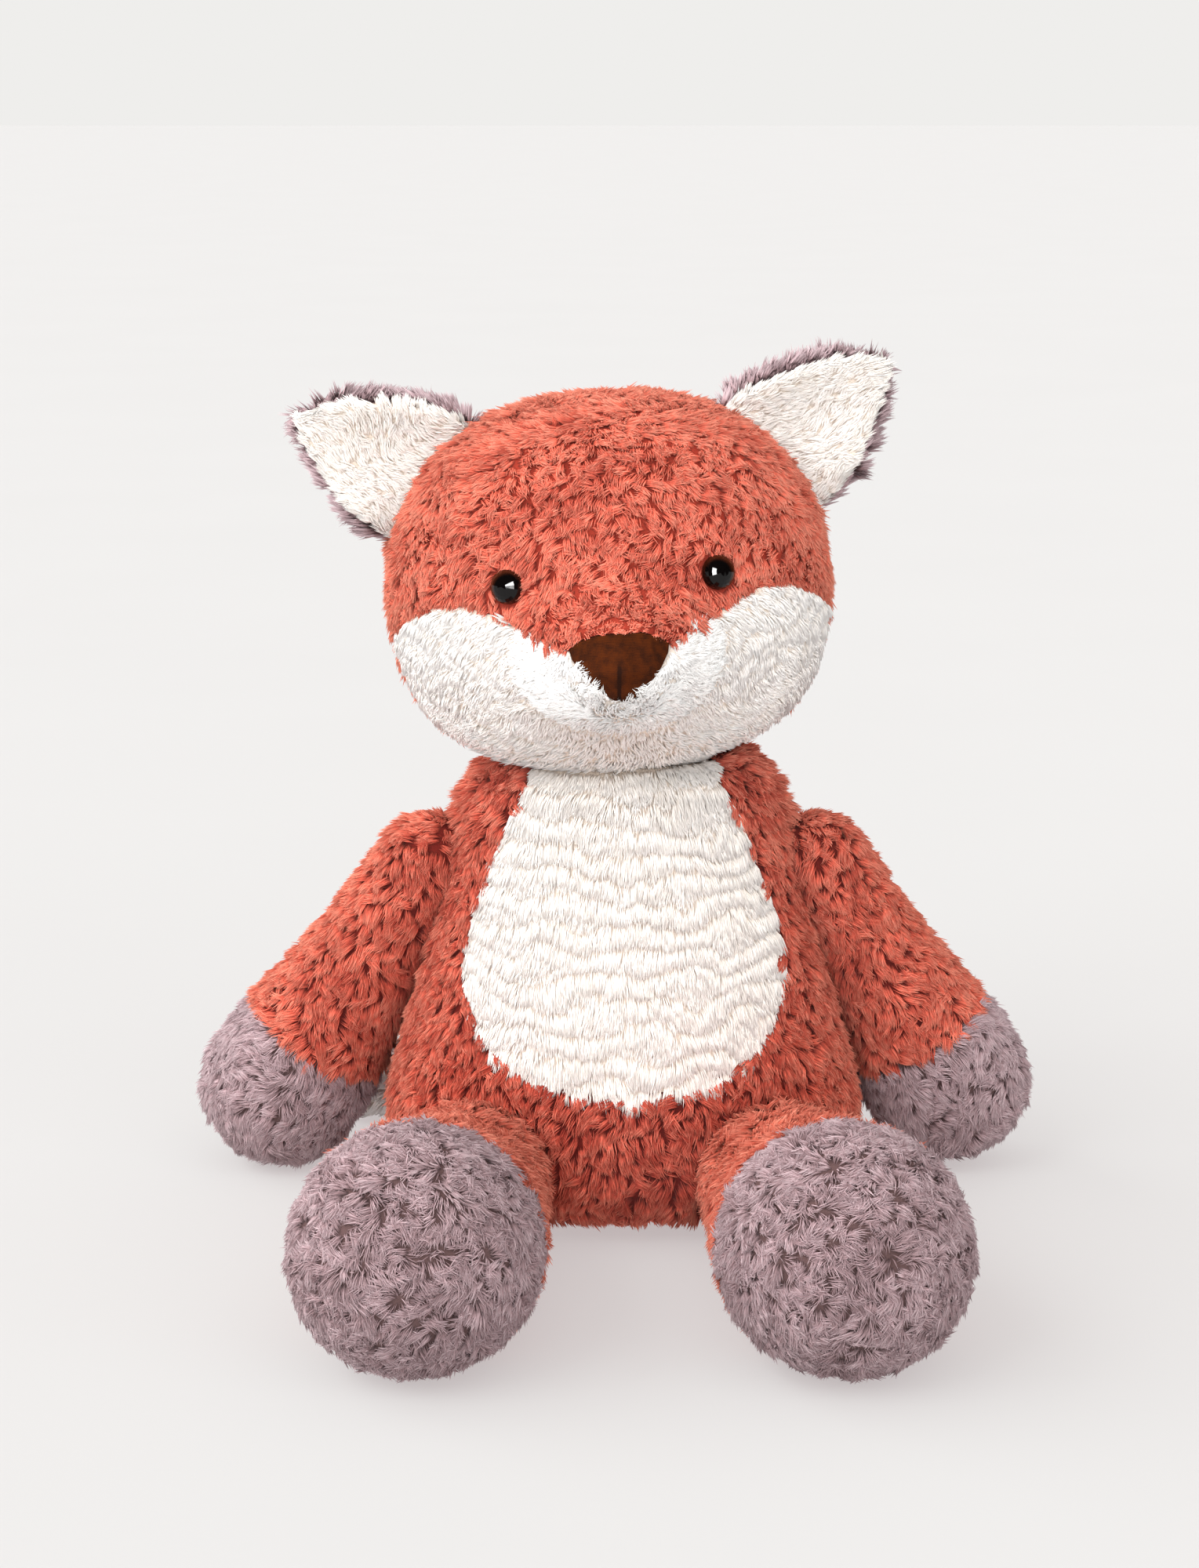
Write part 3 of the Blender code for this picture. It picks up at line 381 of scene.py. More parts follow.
def roots(node, per_cm2, seed):
    """Places spread over a panel's open face, with the normal, free room and stoutness at each."""
    form = merged(node)
    bmesh.ops.triangulate(form, faces=form.faces)
    form.faces.ensure_lookup_table()
    corners = np.array([[v.co for v in f.verts] for f in form.faces])
    middles = corners.mean(1, keepdims=True)
    probes = np.concatenate([middles, middles + (corners - middles) * PROBE_SPREAD], 1)
    outward = np.repeat([f.normal for f in form.faces], probes.shape[1], axis=0)
    rooms = free_room(probes.reshape(-1, 3), outward).reshape(len(probes), -1)
    shut = np.flatnonzero(rooms.max(1) < LEAST_ROOM)
    bmesh.ops.delete(form, geom=[form.faces[i] for i in shut], context="FACES")
    form.normal_update()
    form.verts.index_update()
    co = np.array([v.co for v in form.verts])
    soft = np.array([v.normal for v in form.verts])
    faces = np.array([[v.index for v in f.verts] for f in form.faces])
    form.free()
    across = np.cross(co[faces[:, 1]] - co[faces[:, 0]], co[faces[:, 2]] - co[faces[:, 0]])
    area = np.linalg.norm(across, axis=1) / 2
    flat = unit(across)
    rng = np.random.default_rng(seed)
    away = (flat[:, 1] > BACK_FROM) | (flat[:, 2] < UNDER_FROM)
    area = area * np.where(away, BACK_SHARE, 1)
    count = int(area.sum() * (1 / CM2) * per_cm2)
    pick = rng.choice(len(faces), count, p=area / area.sum())
    two = rng.random((count, 2))
    over = two.sum(1) > 1
    two[over] = 1 - two[over]
    three = np.stack([1 - two.sum(1), two[:, 0], two[:, 1]], 1)[:, :, None]
    places = (co[faces[pick]] * three).sum(1)
    smooth = unit((soft[faces[pick]] * three).sum(1))
    normals = unit(flat[pick] * FLAT_SHARE + smooth * (1 - FLAT_SHARE))
    room = free_room(places, flat[pick])
    stout = np.where(away[pick], BACK_SHARE**-0.5, 1)
    keep = (room > LEAST_ROOM) & (places[:, 2] + normals[:, 2] * MM > 0)
    return places[keep], normals[keep], room[keep], stout[keep]


def unit_strand():
    """One fibre bundle, root at 0 and tip at 1 up Z, and two corners along X where it bends."""
    form = bmesh.new()
    bmesh.ops.create_cone(form, cap_ends=True, segments=3, radius1=0.5, radius2=0.0, depth=1)
    bmesh.ops.remove_doubles(form, verts=form.verts, dist=1e-5)
    top = max(form.verts, key=lambda v: v.co.z)
    low = max((v for v in form.verts if v is not top), key=lambda v: abs(v.co.y))
    corners = [v for v in form.verts if v not in (top, low)]
    top.co, low.co = (0, 0, 1), (0, 0, 0)
    for vert, side in zip(corners, (-0.5, 0.5)):
        vert.co = (side, 0.5, STRAND_BEND)
    form.normal_update()
    bmesh.ops.recalc_face_normals(form, faces=form.faces)
    form.verts.index_update()
    points = np.array([v.co for v in form.verts])
    faces = np.array([[v.index for v in f.verts] for f in form.faces])
    form.free()
    return points, faces


strand_points, strand_faces = unit_strand()


def nearest(places, centres):
    """The number of the centre that each place is nearest to."""
    tree = kdtree.KDTree(len(centres))
    for i, centre in enumerate(centres):
        tree.insert(centre, i)
    tree.balance()
    return np.array([tree.find(p)[1] for p in places])


def turned(ways, normals, angle):
    """Ways on the cloth, each turned about its normal."""
    angle = angle[:, None]
    return ways * np.cos(angle) + np.cross(normals, ways) * np.sin(angle)


def combed(ways, normals):
    """Ways laid flat on the cloth."""
    return unit(ways - (ways * normals).sum(1, keepdims=True) * normals)


def lay_pile(
    node, body, dye, comb, seed, per_cm2=150, length=10.5 * MM, lean=24, tuft=4.6 * MM,
    pull=0.32, wander=30, swirl=0.35, swirl_size=45 * MM, rows=None, trim=None, thick=0.46 * MM,
    tint=0.5, gap_shade=0.18, mottle=0.11, evened=0.5,
):
    """Strands over a panel: combed one way, drawn together in tufts, and lying in rows if given.

    lean and wander are degrees: how far a strand stands off the cloth, and how far tufts stray.
    pull is how far the tips of a tuft close up, and swirl how far the lie turns, in radians.
    rows is (level of each place, pitch, wave, overlap, share): where the strands end in ridges.
    trim shortens or lays down strands near a seam.
    tint is the middle tint, set panel by panel for how light each looks, so it holds painted light
    and shade as well as the fabric's own tone.
    gap_shade is painted shade: how much darker the edge of a tuft is, down in the gaps. mottle is
    the patches.
    evened is how far strands share the lie of the cloth in how they take the light.
    """
    places, normals, room, stout = roots(node, per_cm2, seed)
    rng = np.random.default_rng(seed + 1)
    count = len(places)
    tufts = max(4, int(count / per_cm2 * CM2 / tuft**2))
    centres = places[rng.choice(count, tufts, replace=False)]
    member = nearest(places, centres)
    held = np.maximum(np.bincount(member, minlength=tufts), 1)[:, None]

    def mean(values):
        return np.stack([np.bincount(member, v, tufts) for v in values.T], 1) / held

    centres = mean(places)
    member = nearest(places, centres)
    held = np.maximum(np.bincount(member, minlength=tufts), 1)[:, None]
    ways = combed(comb(places, normals), normals)
    stray = rng.normal(0, math.radians(wander), tufts)[member]
    ways = turned(ways, normals, stray + swirl * ripple(places, swirl_size, seed + 2))
    long = length * rng.uniform(*TUFT_LENGTHS, tufts)[member]
    long = long * rng.uniform(*FIBRE_LENGTHS, count)
    stand = math.radians(lean) * rng.uniform(*TUFT_LEANS, tufts)[member]
    painted_row_shade = np.zeros(count)
    if rows:
        level, pitch, wave, overlap, share = rows
        crumple = ROW_CRUMPLE_SHARE * wave * ripple(places, ROW_CRUMPLE, seed + 4)
        step = (level(places) + wave * ripple(places, ROW_WANDER, seed + 3) + crumple) / pitch
        phase = step - np.floor(step)
        reach = (1 - phase) * pitch + overlap * rng.uniform(*ROW_OVERLAPS, count)
        reach = np.maximum(reach, ROW_LEAST_REACH * length)
        long = long * (1 - share) + np.minimum(reach, long * ROW_MOST_REACH) * share
        stand = stand * (1 - share + share * (ROW_LEAN + ROW_LIFT * phase))
        # painted shade: strands rooted where a ridge starts, under the ridge above, take a darker
        # tint
        painted_row_shade = share * (phase - ROW_MIDDLE) * ROW_SHADE
    if trim:
        long, stand = trim(places, long, stand)
    fits = np.minimum(1, room / (long * np.sin(stand) + MM))
    stand = stand * fits
    tips = places + long[:, None] * (
        ways * np.cos(stand)[:, None] + normals * np.sin(stand)[:, None]
    )
    gather = mean(tips)[member] - tips
    most = np.minimum(1, long / np.maximum(np.linalg.norm(gather, axis=1), 1e-6))
    tips = tips + pull * most[:, None] * gather + rng.normal(0, 1, (count, 3)) * FRINGE
    arch = normals * (long * STRAND_ARCH * fits)[:, None]
    bends = places + (tips - places) * STRAND_BEND + arch
    starts = places - normals * STRAND_ROOT
    for points in (starts, bends, tips):
        points[:, 2] = np.maximum(points[:, 2], FLOOR_CLEAR)

    edge = np.linalg.norm(places - centres[member], axis=1) / tuft
    tone = tint + mottle * ripple(places, TINT_PATCH, seed + 5) + painted_row_shade
    tone += rng.normal(0, TUFT_TINTS, tufts)[member] + rng.normal(0, FIBRE_TINTS, count)
    # painted shade: strands at the edge of a tuft, down in the gaps, take a darker tint
    tone = np.clip(tone - gap_shade * (edge - TUFT_SHADE_FROM), 0.0, 1 - STRAND_STRIP)
    # the first few strands step through every tint, so that the UV map spans its tile
    tone[:TINT_STEPS] = np.linspace(0, 1 - STRAND_STRIP, TINT_STEPS)

    side = unit(np.cross(normals, tips - starts))
    wide = (thick * stout * rng.uniform(*FIBRE_WIDTHS, count))[:, None]
    points = np.empty((count, len(strand_points), 3))
    for i, (x, _, z) in enumerate(strand_points):
        middle = starts if z < 0.01 else tips if z > 0.99 else bends
        points[:, i] = middle + side * x * wide
    points[:, :, 2] = np.maximum(points[:, :, 2], FLOOR_CLEAR / 2)
    strip = np.empty((count, len(strand_points), 2))
    strip[:, :, 0] = tone[:, None] + (strand_points[:, 0] + 0.5) * STRAND_STRIP
    strip[:, :, 1] = strand_points[:, 2]
    chunks = -(-count // STRANDS_APIECE)
    for i, chosen in enumerate(np.array_split(np.argsort(places[:, 1]), chunks)):
        name = node + "_pile" + ("" if chunks == 1 else f"_{i + 1}")
        strands(name, points[chosen], strip[chosen], normals[chosen] * evened, body, dye)


def strands(name, points, strip, normals, body, dye):
    """One piece of many strands. The length of normals is how far they share the cloth's lie."""
    count = len(points)
    loops = (np.arange(count)[:, None] * len(strand_points) + strand_faces.ravel()).ravel()
    faces = count * len(strand_faces)
    mesh = bpy.data.meshes.new(name)
    mesh.vertices.add(count * len(strand_points))
    mesh.vertices.foreach_set("co", points.ravel())
    mesh.loops.add(len(loops))
    mesh.loops.foreach_set("vertex_index", loops.astype(np.int32))
    mesh.polygons.add(faces)
    mesh.polygons.foreach_set("loop_start", np.arange(0, len(loops), 3, dtype=np.int32))
    mesh.update(calc_edges=True)
    mesh.polygons.foreach_set("use_smooth", np.ones(faces, dtype=bool))
    layer = mesh.uv_layers.new(name="OFBake")
    layer.data.foreach_set("uv", strip.reshape(-1, 2)[loops].astype(np.float32).ravel())
    own = np.empty(len(mesh.vertices) * 3)
    mesh.vertices.foreach_get("normal", own)
    cloth = np.repeat(normals, len(strand_points), axis=0)
    lie = unit(cloth + own.reshape(-1, 3) * (1 - np.linalg.norm(cloth, axis=1, keepdims=True)))
    mesh.normals_split_custom_set_from_vertices(lie)
    mesh.materials.append(dye)
    piece = bpy.data.objects.new(name, mesh)
    bpy.context.scene.collection.objects.link(piece)
    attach(piece, body)


def towards(x, y, z):
    """Pile combed one way all over."""
    return lambda places, normals: np.tile((x, y, z), (len(places), 1))


orange_dye = pile_dye("orange_pile", ORANGE_DEEP, ORANGE_PALE, sheen=0.38)
orange_backing = backing_dye("orange_backing", ORANGE_BACKING_PAINTED_SHADE)
cream_dye = pile_dye("cream_pile", CREAM_DEEP, CREAM_PALE)
cream_backing = backing_dye("cream_backing", CREAM_BACKING_PAINTED_SHADE)


def shoulder_of(side):
    """The top of the seam that an arm hangs from."""
    low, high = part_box(side + "_sleeve")
    inner = low.x if side == "left" else high.x
    return np.array((inner, (low.y + high.y) / 2, high.z))


shoulders = [shoulder_of(side) for side in SIDES]


def fuller_at_shoulder(places, long, stand):
    """Longer pile that stands up round the top of each arm."""
    off = np.min([np.linalg.norm(places - top, axis=1) for top in shoulders], axis=0)
    near = np.clip(SHOULDER_FULL - off / SHOULDER_AREA, 0, 1)
    return long * (1 + SHOULDER_LONGER * near), stand * (1 + SHOULDER_STEEPER * near)


def down(places):
    """How far down each place is, for level rows."""
    return -places[:, 2]


sewn("body_skin", "body_shell", "body", orange_backing)
sewn("belly_panel", "belly_patch", "body", cream_backing)

# painted shade: the body's pile takes a deeper tint than the head's, as its lower half is darker
# in shade
lay_pile(
    "body_skin", "body", orange_dye, towards(0, -0.15, -1), seed=11,
    per_cm2=116, pull=0.38, tint=0.34, gap_shade=0.35, thick=0.52 * MM, trim=fuller_at_shoulder,
    rows=(down, 11.5 * MM, 4 * MM, 3 * MM, 0.5),
)
lay_pile(
    "belly_panel", "body", cream_dye, towards(0, 0, -1), seed=21,
    per_cm2=145, length=12 * MM, lean=10, tuft=3.2 * MM, pull=0.1, wander=6, swirl=0.12,
    rows=(down, 12.5 * MM, 4 * MM, 2.6 * MM, 0.72), tint=0.12, gap_shade=0.08, thick=0.5 * MM,
    evened=0.62,
)


# Filling of the body.
# Loose white polyester fibre, with orange lining cloth where limbs, ears and tail are
# sewn in, and a cotton bag of pellets that weighs the seat down.
WADDING = ((214, 212, 206), (240, 239, 235))
BAG_CLOTH = ((196, 188, 172), (222, 216, 204))
LINING = (112, 30, 20)
SEWN_IN = (
    ("left_sleeve", (0, 0.5, 1)),
    ("right_sleeve", (1, 0.5, 1)),
    ("left_ear_front", (0, 0.5, 0)),
    ("right_ear_front", (1, 0.5, 0)),
    ("left_leg", (0.5, 0.8, 0.5)),
    ("right_leg", (0.5, 0.8, 0.5)),
    ("tail_base", (0.7, 0.2, 0.5)),
)
LINED_FROM = 60 * MM
LINED_TO = 74 * MM
FAR_OFF = 1.0

wadding_dye, dye = new_dye("wadding")
place = dye.node("TexCoord", {}, {}, "Object")
cloud = dye.node("TexNoise", {}, {"Vector": place, "Scale": BACKING_MOTTLE, "Detail": 4.0})
apart = FAR_OFF
for node, end in SEWN_IN:
    low, high = (np.array(corner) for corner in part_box(node))
    seam = tuple(float(c) for c in low + (high - low) * end)
    off = dye.node("VectorMath", {"operation": "DISTANCE"}, {0: place, 1: seam}, "Value")
    apart = off.maths("MINIMUM", off, apart)
lined = 1 - apart.clipped(LINED_FROM, LINED_TO)
fixed(dye, {
    "Base Color": lined.mixed(cloud.mixed(*(shade(c) for c in WADDING)), shade(LINING)),
    "Roughness": 0.9 + cloud * 0.08,
    "Specular IOR Level": 0.1,
})
bag_dye = backing_dye("pellet_bag", BAG_CLOTH)
sewn("body_stuffing", "body_filling", "body", wadding_dye)
sewn("seat_pellet_bag", "seat_bag", "body", bag_dye)


# Head.
# A round stuffed form: orange crown, back and brow, a cream face panel in two humps
# whose pile runs out and down, and a close white pad for the muzzle, parted in the middle.
WHITE_DEEP = ((244, 238, 232), (253, 250, 248), (254, 253, 252))
WHITE_PALE = ((246, 240, 235), (255, 253, 251), (255, 254, 253))
# the backings are dyed darker than their pile: painted shade in the gaps between tufts
WHITE_BACKING_PAINTED_SHADE = ((222, 206, 192), (240, 230, 220))
BRIGHT_BACKING_PAINTED_SHADE = ((132, 40, 27), (170, 62, 45))

# which way the pile runs from the crown, over the cheeks and on the pad
CROWN_BACK = 0.62
CROWN_OVER = 6 * MM
CROWN_DROP = 0.35
EYE_PUSH = 0.6
CHEEK_FAN = 45 * MM
CHEEK_OUT = 0.75
CHEEK_DOWN = 0.85
CHEEK_RISE = 0.55
PAD_BEHIND = 30 * MM

# where the pile parts: how far from each piece, and the share of its length that is left
EYE_PARTING, EYE_PILE = 16 * MM, 0.55
NOSE_PARTING, NOSE_PILE = 28 * MM, 0.4
CHEEK_PARTING, CHEEK_PILE = 9 * MM, 0.35
PAD_PARTING, PAD_PILE, PAD_STAND = 7 * MM, 0.25, 0.3
MOUTH_PARTING, MOUTH_PILE = 1.4 * MM, 0.45
MOUTH_FROM = 3 * MM

low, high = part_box("head_skin")
head_middle = (low + high) / 2
crown_back = low.y + CROWN_BACK * (high.y - low.y)
crown = np.array((head_middle.x, crown_back, high.z + CROWN_OVER))
nose_low, nose_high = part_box("nose_panel")
nose_centre = np.array((nose_low + nose_high) / 2)
eye_fronts = []
for node in ("left_eye", "right_eye"):
    low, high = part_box(node)
    eye_middle = (low + high) / 2
    eye_fronts.append(np.array((eye_middle.x, low.y, eye_middle.z)))


def off_from(node, places, reach):
    """How far each place lies from a CAD node, up to reach."""
    form = merged(node)
    tree = bvhtree.BVHTree.FromBMesh(form)
    form.free()
    found = [tree.find_nearest(Vector(p), reach)[3] for p in places]
    return np.array([reach if off is None else off for off in found])


def from_crown(places, normals):
    """Combed down from the crown, and away from the eyes."""
    ways = unit(places - crown) + (0, 0, -CROWN_DROP)
    for eye in eye_fronts:
        off = places - eye
        near = np.exp(-((np.linalg.norm(off, axis=1, keepdims=True) / EYE_PARTING) ** 2))
        ways = ways + unit(off) * near * EYE_PUSH
    return ways


def rising(least, share):
    """From least at a seam to 1 away from it."""
    return least + (1 - least) * share


def clear_of_face(places, long, stand):
    """Shorter round the eyes, over the nose and along the seam with the face."""
    for eye in eye_fronts:
        off = np.linalg.norm(places - eye, axis=1)
        near = np.clip(off / EYE_PARTING, EYE_PILE, 1)
        long = long * near
        stand = stand * np.clip(near * 1.4, 0.6, 1)
    off = np.linalg.norm(places - nose_centre, axis=1)
    long = long * np.clip(off / NOSE_PARTING - 0.35, NOSE_PILE, 1)
    seam = off_from("face_panel", places, CHEEK_PARTING) / CHEEK_PARTING
    return long * rising(CHEEK_PILE, seam), stand


def clear_of_pad(places, long, stand):
    """Shorter and lower along the seam with the muzzle's pad."""
    seam = off_from("muzzle_panel", places, PAD_PARTING) / PAD_PARTING
    return long * rising(PAD_PILE, seam), stand * rising(PAD_STAND, seam)


def cheek_ways(places, normals):
    """Down in the middle, and fanned outwards over the cheeks."""
    ways = np.zeros_like(places)
    off = (places[:, 0] - nose_centre[0]) / CHEEK_FAN
    ways[:, 0] = np.clip(off, -1, 1) * CHEEK_OUT
    ways[:, 2] = -CHEEK_DOWN
    return ways


def cheek_level(places):
    """How far down each place is, for rows that rise towards the sides."""
    off = np.abs(places[:, 0] - nose_centre[0])
    return off * CHEEK_RISE - places[:, 2] * CHEEK_DOWN


def from_nose(places, normals):
    """Combed away from a point behind the nose."""
    return places - nose_centre - (0, PAD_BEHIND, 0)


def mouth_parting(places, long, stand):
    """Shorter along the seam that runs down from the nose."""
    off = np.abs(places[:, 0] - nose_centre[0])
    under = (places[:, 2] < nose_low.z + MOUTH_FROM) & (off < MOUTH_PARTING)
    return np.where(under, long * MOUTH_PILE, long), stand


white_dye = pile_dye("white_pile", WHITE_DEEP, WHITE_PALE)
white_backing = backing_dye("white_backing", WHITE_BACKING_PAINTED_SHADE)
bright_backing = backing_dye("bright_backing", BRIGHT_BACKING_PAINTED_SHADE)
sewn("head_skin", "head_shell", "head", bright_backing)
sewn("face_panel", "face_patch", "head", cream_backing)
sewn("muzzle_panel", "muzzle_pad", "head", white_backing)
sewn("head_stuffing", "head_filling", "head", wadding_dye)
lay_pile(
    "head_skin", "head", orange_dye, from_crown, seed=31, per_cm2=138,
    length=8.5 * MM, lean=22, tuft=3.6 * MM, pull=0.24, wander=36, swirl=0.7, swirl_size=55 * MM,
    trim=clear_of_face, thick=0.46 * MM, tint=0.68, gap_shade=0.07, mottle=0.16, evened=0.6,
)
lay_pile(
    "face_panel", "head", cream_dye, cheek_ways, seed=41, per_cm2=170,
    length=8.5 * MM, lean=12, tuft=3.2 * MM, pull=0.08, wander=14, swirl=0.25, evened=0.66,
    rows=(cheek_level, 9.5 * MM, 5 * MM, 2.4 * MM, 0.85), tint=0.75, gap_shade=0.08,
    trim=clear_of_pad,
)
lay_pile(
    "muzzle_panel", "head", white_dye, from_nose, seed=51, per_cm2=240,
    length=7 * MM, lean=14, tuft=3 * MM, pull=0.05, wander=18, swirl=0.3,
    trim=mouth_parting, thick=0.42 * MM, tint=0.95, gap_shade=0.02, evened=0.35,
)


# Nose.
# A rounded triangle of short brown velour over a little wadding, with fine knit lines
# across it and a dart sewn up its lower half.
VELOUR = ((35, 10, 0), (76, 30, 0))
VELOUR_BLOOM = (206, 128, 76)
NAP_SCALE = 210.0
FIBRE_SCALE = 2400.0
KNIT_PITCH = 0.65 * MM
KNIT_RELIEF = 0.25 * MM
WAVE_PITCH = 0.314
DART_SHADE = (0.3 * MM, 1.3 * MM)
DART_WIDTH = 0.7 * MM
DART_DEPTH = 0.9 * MM
DART_SHARE = 0.62
DART_FADE = 4 * MM

velour, dye = new_dye("brown_velour")
place = dye.node("TexCoord", {}, {}, "Object")
nap = dye.node("TexNoise", {}, {"Vector": place, "Scale": NAP_SCALE, "Detail": 6.0})
fine = dye.node("TexNoise", {}, {"Vector": place, "Scale": FIBRE_SCALE, "Detail": 2.0})
wave = dye.node(
    "TexWave",
    {"wave_type": "BANDS", "bands_direction": "Z"},
    {"Vector": place, "Scale": WAVE_PITCH / KNIT_PITCH, "Distortion": 1.2, "Detail": 1.0},
)
across = dye.node("SeparateXYZ", {}, {0: place})
middle_x, _, middle_z = nose_centre.tolist()
# painted shade in the dart's crease: darker down its middle, fading out above the middle of the
# nose
dart = 1 - dye.maths("ABSOLUTE", across - middle_x).clipped(*DART_SHADE)
dart = dart * (1 - across.part("Z").clipped(middle_z, middle_z + DART_FADE))
tone = (nap * 0.7 + fine * 0.3 + wave * 0.12 - dart * 0.35).clipped(0.3, 0.8)
knit = dye.node(
    "Bump", {}, {"Height": wave * 0.5 + fine * 0.6, "Strength": 0.5, "Distance": KNIT_RELIEF}
)
fixed(dye, {
    "Base Color": tone.mixed(*(shade(c) for c in VELOUR)),
    "Roughness": 0.85,
    "Normal": knit,
    "Specular IOR Level": 0.05,
    "Sheen Weight": 0.05,
    "Sheen Roughness": 0.4,
    "Sheen Tint": shade(VELOUR_BLOOM),
})
nose = sewn("nose_panel", "nose", "head", velour)
form = bmesh.new()
form.from_mesh(nose.data)
bmesh.ops.subdivide_edges(form, edges=form.edges, cuts=2, use_grid_fill=True)
form.normal_update()
seam_top = nose_low.z + DART_SHARE * (nose_high.z - nose_low.z)
for vert in form.verts:
    off = (vert.co.x - nose_centre[0]) / DART_WIDTH
    drop = min(1, max(0, (seam_top - vert.co.z) / DART_FADE))
    vert.co -= vert.normal * (DART_DEPTH * math.exp(-off * off) * drop)
form.to_mesh(nose.data)
form.free()
nose.data.polygons.foreach_set("use_smooth", [True] * len(nose.data.polygons))


# Eyes.
# Black moulded domes, with a warm brown ring painted round the edge as the reflection
# of the fur around them. Their ribbed stems go through the head, where pale plastic
# washers lock them.
# the black of the plastic, and the warm brown painted as the fur's reflection near the edge
EYE_BLACK_AND_FUR_REFLECTION = ((7, 5, 5), (58, 24, 12))
FUR_REFLECTION_FROM = 6.5 * MM
FUR_REFLECTION_TO = 9.5 * MM
SCUFF_SCALE = 320.0
WASHER_PLASTIC = ((222, 220, 214), (240, 239, 235))
FLOW_SCALE = 260.0


def moulded(node, material):
    """A hard piece stays as it is in the CAD, with its own plastic."""
    nodes[node].data.materials.clear()
    nodes[node].data.materials.append(material)


for node, front in zip(("left_eye", "right_eye"), eye_fronts):
    eye_dye, dye = new_dye(node + "_gloss")
    place = dye.node("TexCoord", {}, {}, "Object")
    off = dye.node("VectorMath", {"operation": "DISTANCE"}, {0: place, 1: tuple(front)}, "Value")
    # painted reflection of the fur: a warm brown ring towards the edge of the dome
    fur_reflection = off.clipped(FUR_REFLECTION_FROM, FUR_REFLECTION_TO)
    scuff = dye.node("TexNoise", {}, {"Vector": place, "Scale": SCUFF_SCALE, "Detail": 3.0})
    fixed(dye, {
        "Base Color": fur_reflection.mixed(*(shade(c) for c in EYE_BLACK_AND_FUR_REFLECTION)),
        "Roughness": 0.04 + scuff * 0.04,
        "Specular IOR Level": 0.27,
    })
    moulded(node, eye_dye)

washer_dye, dye = new_dye("washer_plastic")
place = dye.node("TexCoord", {}, {}, "Object")
flow = dye.node("TexNoise", {}, {"Vector": place, "Scale": FLOW_SCALE, "Detail": 3.0})
fixed(dye, {
    "Base Color": flow.mixed(*(shade(c) for c in WASHER_PLASTIC)),
    "Roughness": 0.35 + flow * 0.2,
})
for node in ("left_eye_washer", "right_eye_washer"):
    moulded(node, washer_dye)


# Ears.
# Two layers sewn edge to edge and turned: cream pile inside, mauve pile behind, the
# mauve standing out past the edge all round. They are folded at the root.
MAUVE_DEEP = ((70, 50, 50), (118, 93, 95), (150, 123, 127))
MAUVE_PALE = ((112, 86, 87), (184, 156, 160), (224, 200, 204))
# the backing is dyed darker than its pile: painted shade in the gaps between tufts
MAUVE_BACKING_PAINTED_SHADE = ((76, 55, 54), (106, 82, 81))
EAR_MIDDLE = 0.45
EDGE_OUT = 1.1
EDGE_UP = 0.8

mauve_dye = pile_dye("mauve_pile", MAUVE_DEEP, MAUVE_PALE)
mauve_backing = backing_dye("mauve_backing", MAUVE_BACKING_PAINTED_SHADE)
for number, side in enumerate(SIDES):
    ear = side + "_ear"
    low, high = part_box(ear + "_front")
    inner, outer = (low.x, high.x) if side == "left" else (high.x, low.x)
    tip = np.array((outer, (low.y + high.y) / 2, high.z))
    base = np.array((inner, (low.y + high.y) / 2, low.z))
    spine = (tip - base) / np.linalg.norm(tip - base)
    middle = base + EAR_MIDDLE * (tip - base)

    def to_ear_edge(places, normals, spine=spine, middle=middle):
        off = places - middle
        aside = off - (off @ spine)[:, None] * spine
        return unit(aside) * EDGE_OUT + spine * EDGE_UP

    sewn(ear + "_front", ear + "_lining", ear, cream_backing)
    sewn(ear + "_back", ear + "_cover", ear, mauve_backing)
    lay_pile(
        ear + "_front", ear, cream_dye, towards(*spine), seed=61 + number * 4,
        per_cm2=180, length=8 * MM, lean=18, tuft=3.8 * MM, pull=0.18, wander=18, swirl=0.4,
        rows=(lambda p, s=spine: p @ s, 8 * MM, 3 * MM, 2.4 * MM, 0.45), tint=0.15, gap_shade=0.1,
        evened=0.7,
    )
    lay_pile(
        ear + "_back", ear, mauve_dye, to_ear_edge, seed=71 + number * 4,
        per_cm2=300, length=13 * MM, lean=26, tuft=4 * MM, wander=20, tint=0.75, gap_shade=0.1,
        evened=0.1,
    )


# Arms.
# Stuffed tubes hung from flat shoulder seams: orange sleeves with tufts hanging in
# rough rows, and mauve paws whose shorter pile is combed round the end.
SEAM_PILE = 0.6
SEAM_REACH = 55 * MM

for number, (side, shoulder) in enumerate(zip(SIDES, shoulders)):
    arm = side + "_arm"
    paw_low, paw_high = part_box(side + "_paw")
    hand = np.array((paw_low + paw_high) / 2)
    reach = (hand - shoulder) / np.linalg.norm(hand - shoulder)

    def short_at_seam(places, long, stand, shoulder=shoulder, reach=reach):
        away = np.clip(SEAM_PILE + (places - shoulder) @ reach / SEAM_REACH, SEAM_PILE, 1)
        return long * away, stand * away

    sewn(side + "_sleeve", arm + "_shell", arm, orange_backing)
    sewn(side + "_paw", side + "_paw_shell", arm, mauve_backing)
    sewn(side + "_arm_stuffing", arm + "_filling", arm, wadding_dye)
    lay_pile(
        side + "_sleeve", arm, orange_dye, towards(*(reach + (0, 0, -0.5))),
        seed=81 + number * 4, pull=0.38, tint=0.52, gap_shade=0.3, trim=short_at_seam,
        rows=(lambda p, r=reach: p @ r, 11 * MM, 4 * MM, 3 * MM, 0.4),
    )
    lay_pile(
        side + "_paw", arm, mauve_dye, towards(*(reach + (0, 0, -0.3))),
        seed=91 + number * 4, per_cm2=180, length=9 * MM, lean=22, tuft=3.8 * MM, pull=0.26,
        wander=34, swirl=0.9, swirl_size=35 * MM, thick=0.38 * MM, tint=0.62, gap_shade=0.15,
    )


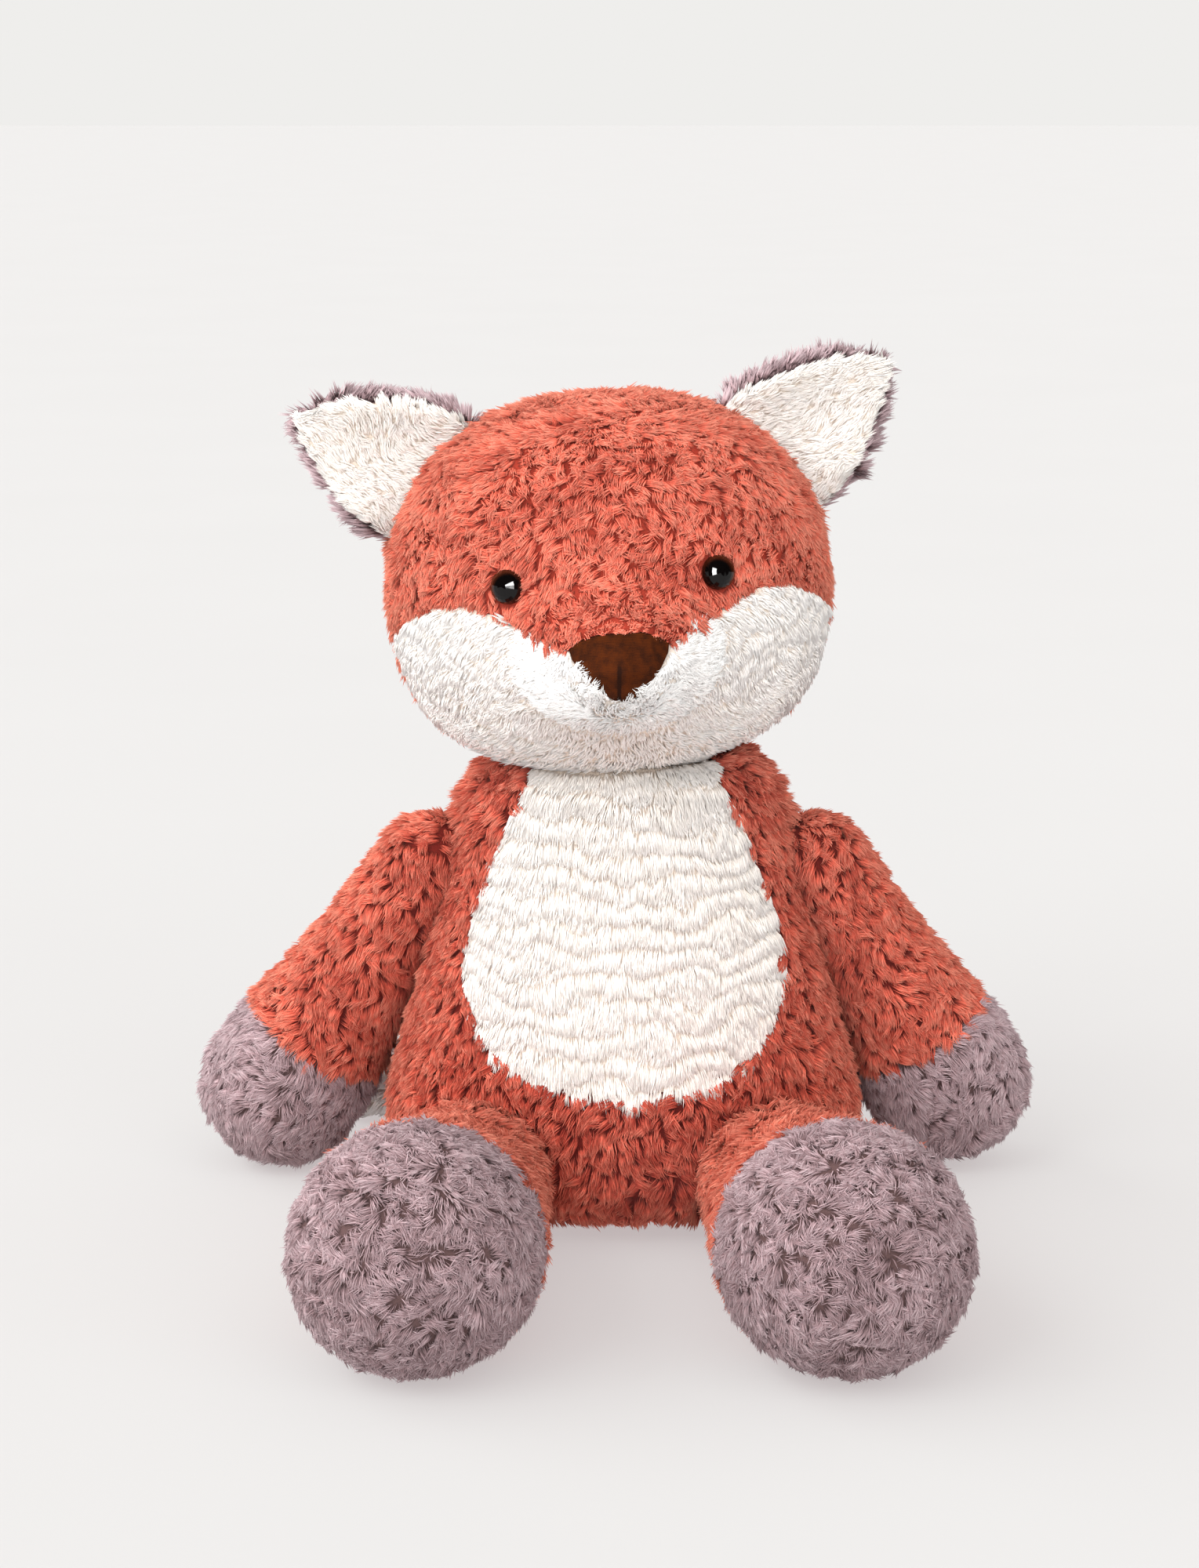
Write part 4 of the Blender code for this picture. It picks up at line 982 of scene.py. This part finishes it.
# Legs.
# Short stuffed tubes that end in big round feet. The mauve sole faces forward, its
# pile pushed into rosettes; a bag of pellets lies in each heel.
ROSETTE_SIZE = 16 * MM
ROSETTE_SEED = 400
FLOOR_PILE = 0.4
FLOOR_REACH = 40 * MM


def rosettes(places, normals):
    """Combed every way in patches, and mostly down."""
    around = [ripple(places, ROSETTE_SIZE, ROSETTE_SEED + i) for i in range(3)]
    return np.stack(around, 1) + (0, 0, -1)


def short_at_floor(places, long, stand):
    """Shorter where the foot is pressed on the floor."""
    return long * np.clip(FLOOR_PILE + places[:, 2] / FLOOR_REACH, FLOOR_PILE, 1), stand


for number, side in enumerate(SIDES):
    leg = side + "_leg"
    sewn(side + "_leg", leg + "_shell", leg, bright_backing)
    sewn(side + "_foot", side + "_foot_shell", leg, mauve_backing)
    sewn(side + "_leg_stuffing", leg + "_filling", leg, wadding_dye)
    sewn(side + "_foot_pellet_bag", side + "_foot_bag", leg, bag_dye)
    lay_pile(
        side + "_leg", leg, orange_dye, towards(0, -1, -0.3), seed=101 + number * 4,
        per_cm2=58, length=10 * MM, thick=0.6 * MM, tint=0.42,
    )
    lay_pile(
        side + "_foot", leg, mauve_dye, rosettes, seed=111 + number * 4,
        per_cm2=158, length=8.5 * MM, lean=18, tuft=3.4 * MM, pull=0.25, wander=42, swirl=0.5,
        trim=short_at_floor, thick=0.4 * MM, tint=0.43, gap_shade=0.27,
    )


# Tail.
# A stuffed curl on the floor behind the body, with an orange root and a smooth cream
# end that reaches round to the fox's right.
root_low, root_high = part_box("tail_base")
tail_root = np.array((0, root_low.y, (root_low.z + root_high.z) / 2))


def off_tail_root(places, normals):
    """Combed away from the root and round the curl."""
    return unit(places - tail_root) + (-0.4, 0, 0)


sewn("tail_base", "tail_root_shell", "tail", orange_backing)
sewn("tail_tip", "tail_end_shell", "tail", cream_backing)
sewn("tail_stuffing", "tail_filling", "tail", wadding_dye)
lay_pile(
    "tail_base", "tail", orange_dye, off_tail_root, seed=121, per_cm2=90,
    tint=0.42,
)
lay_pile(
    "tail_tip", "tail", cream_dye, off_tail_root, seed=131, per_cm2=110,
    length=12 * MM, lean=16, pull=0.4, wander=10, swirl=0.2, tint=0.5,
)
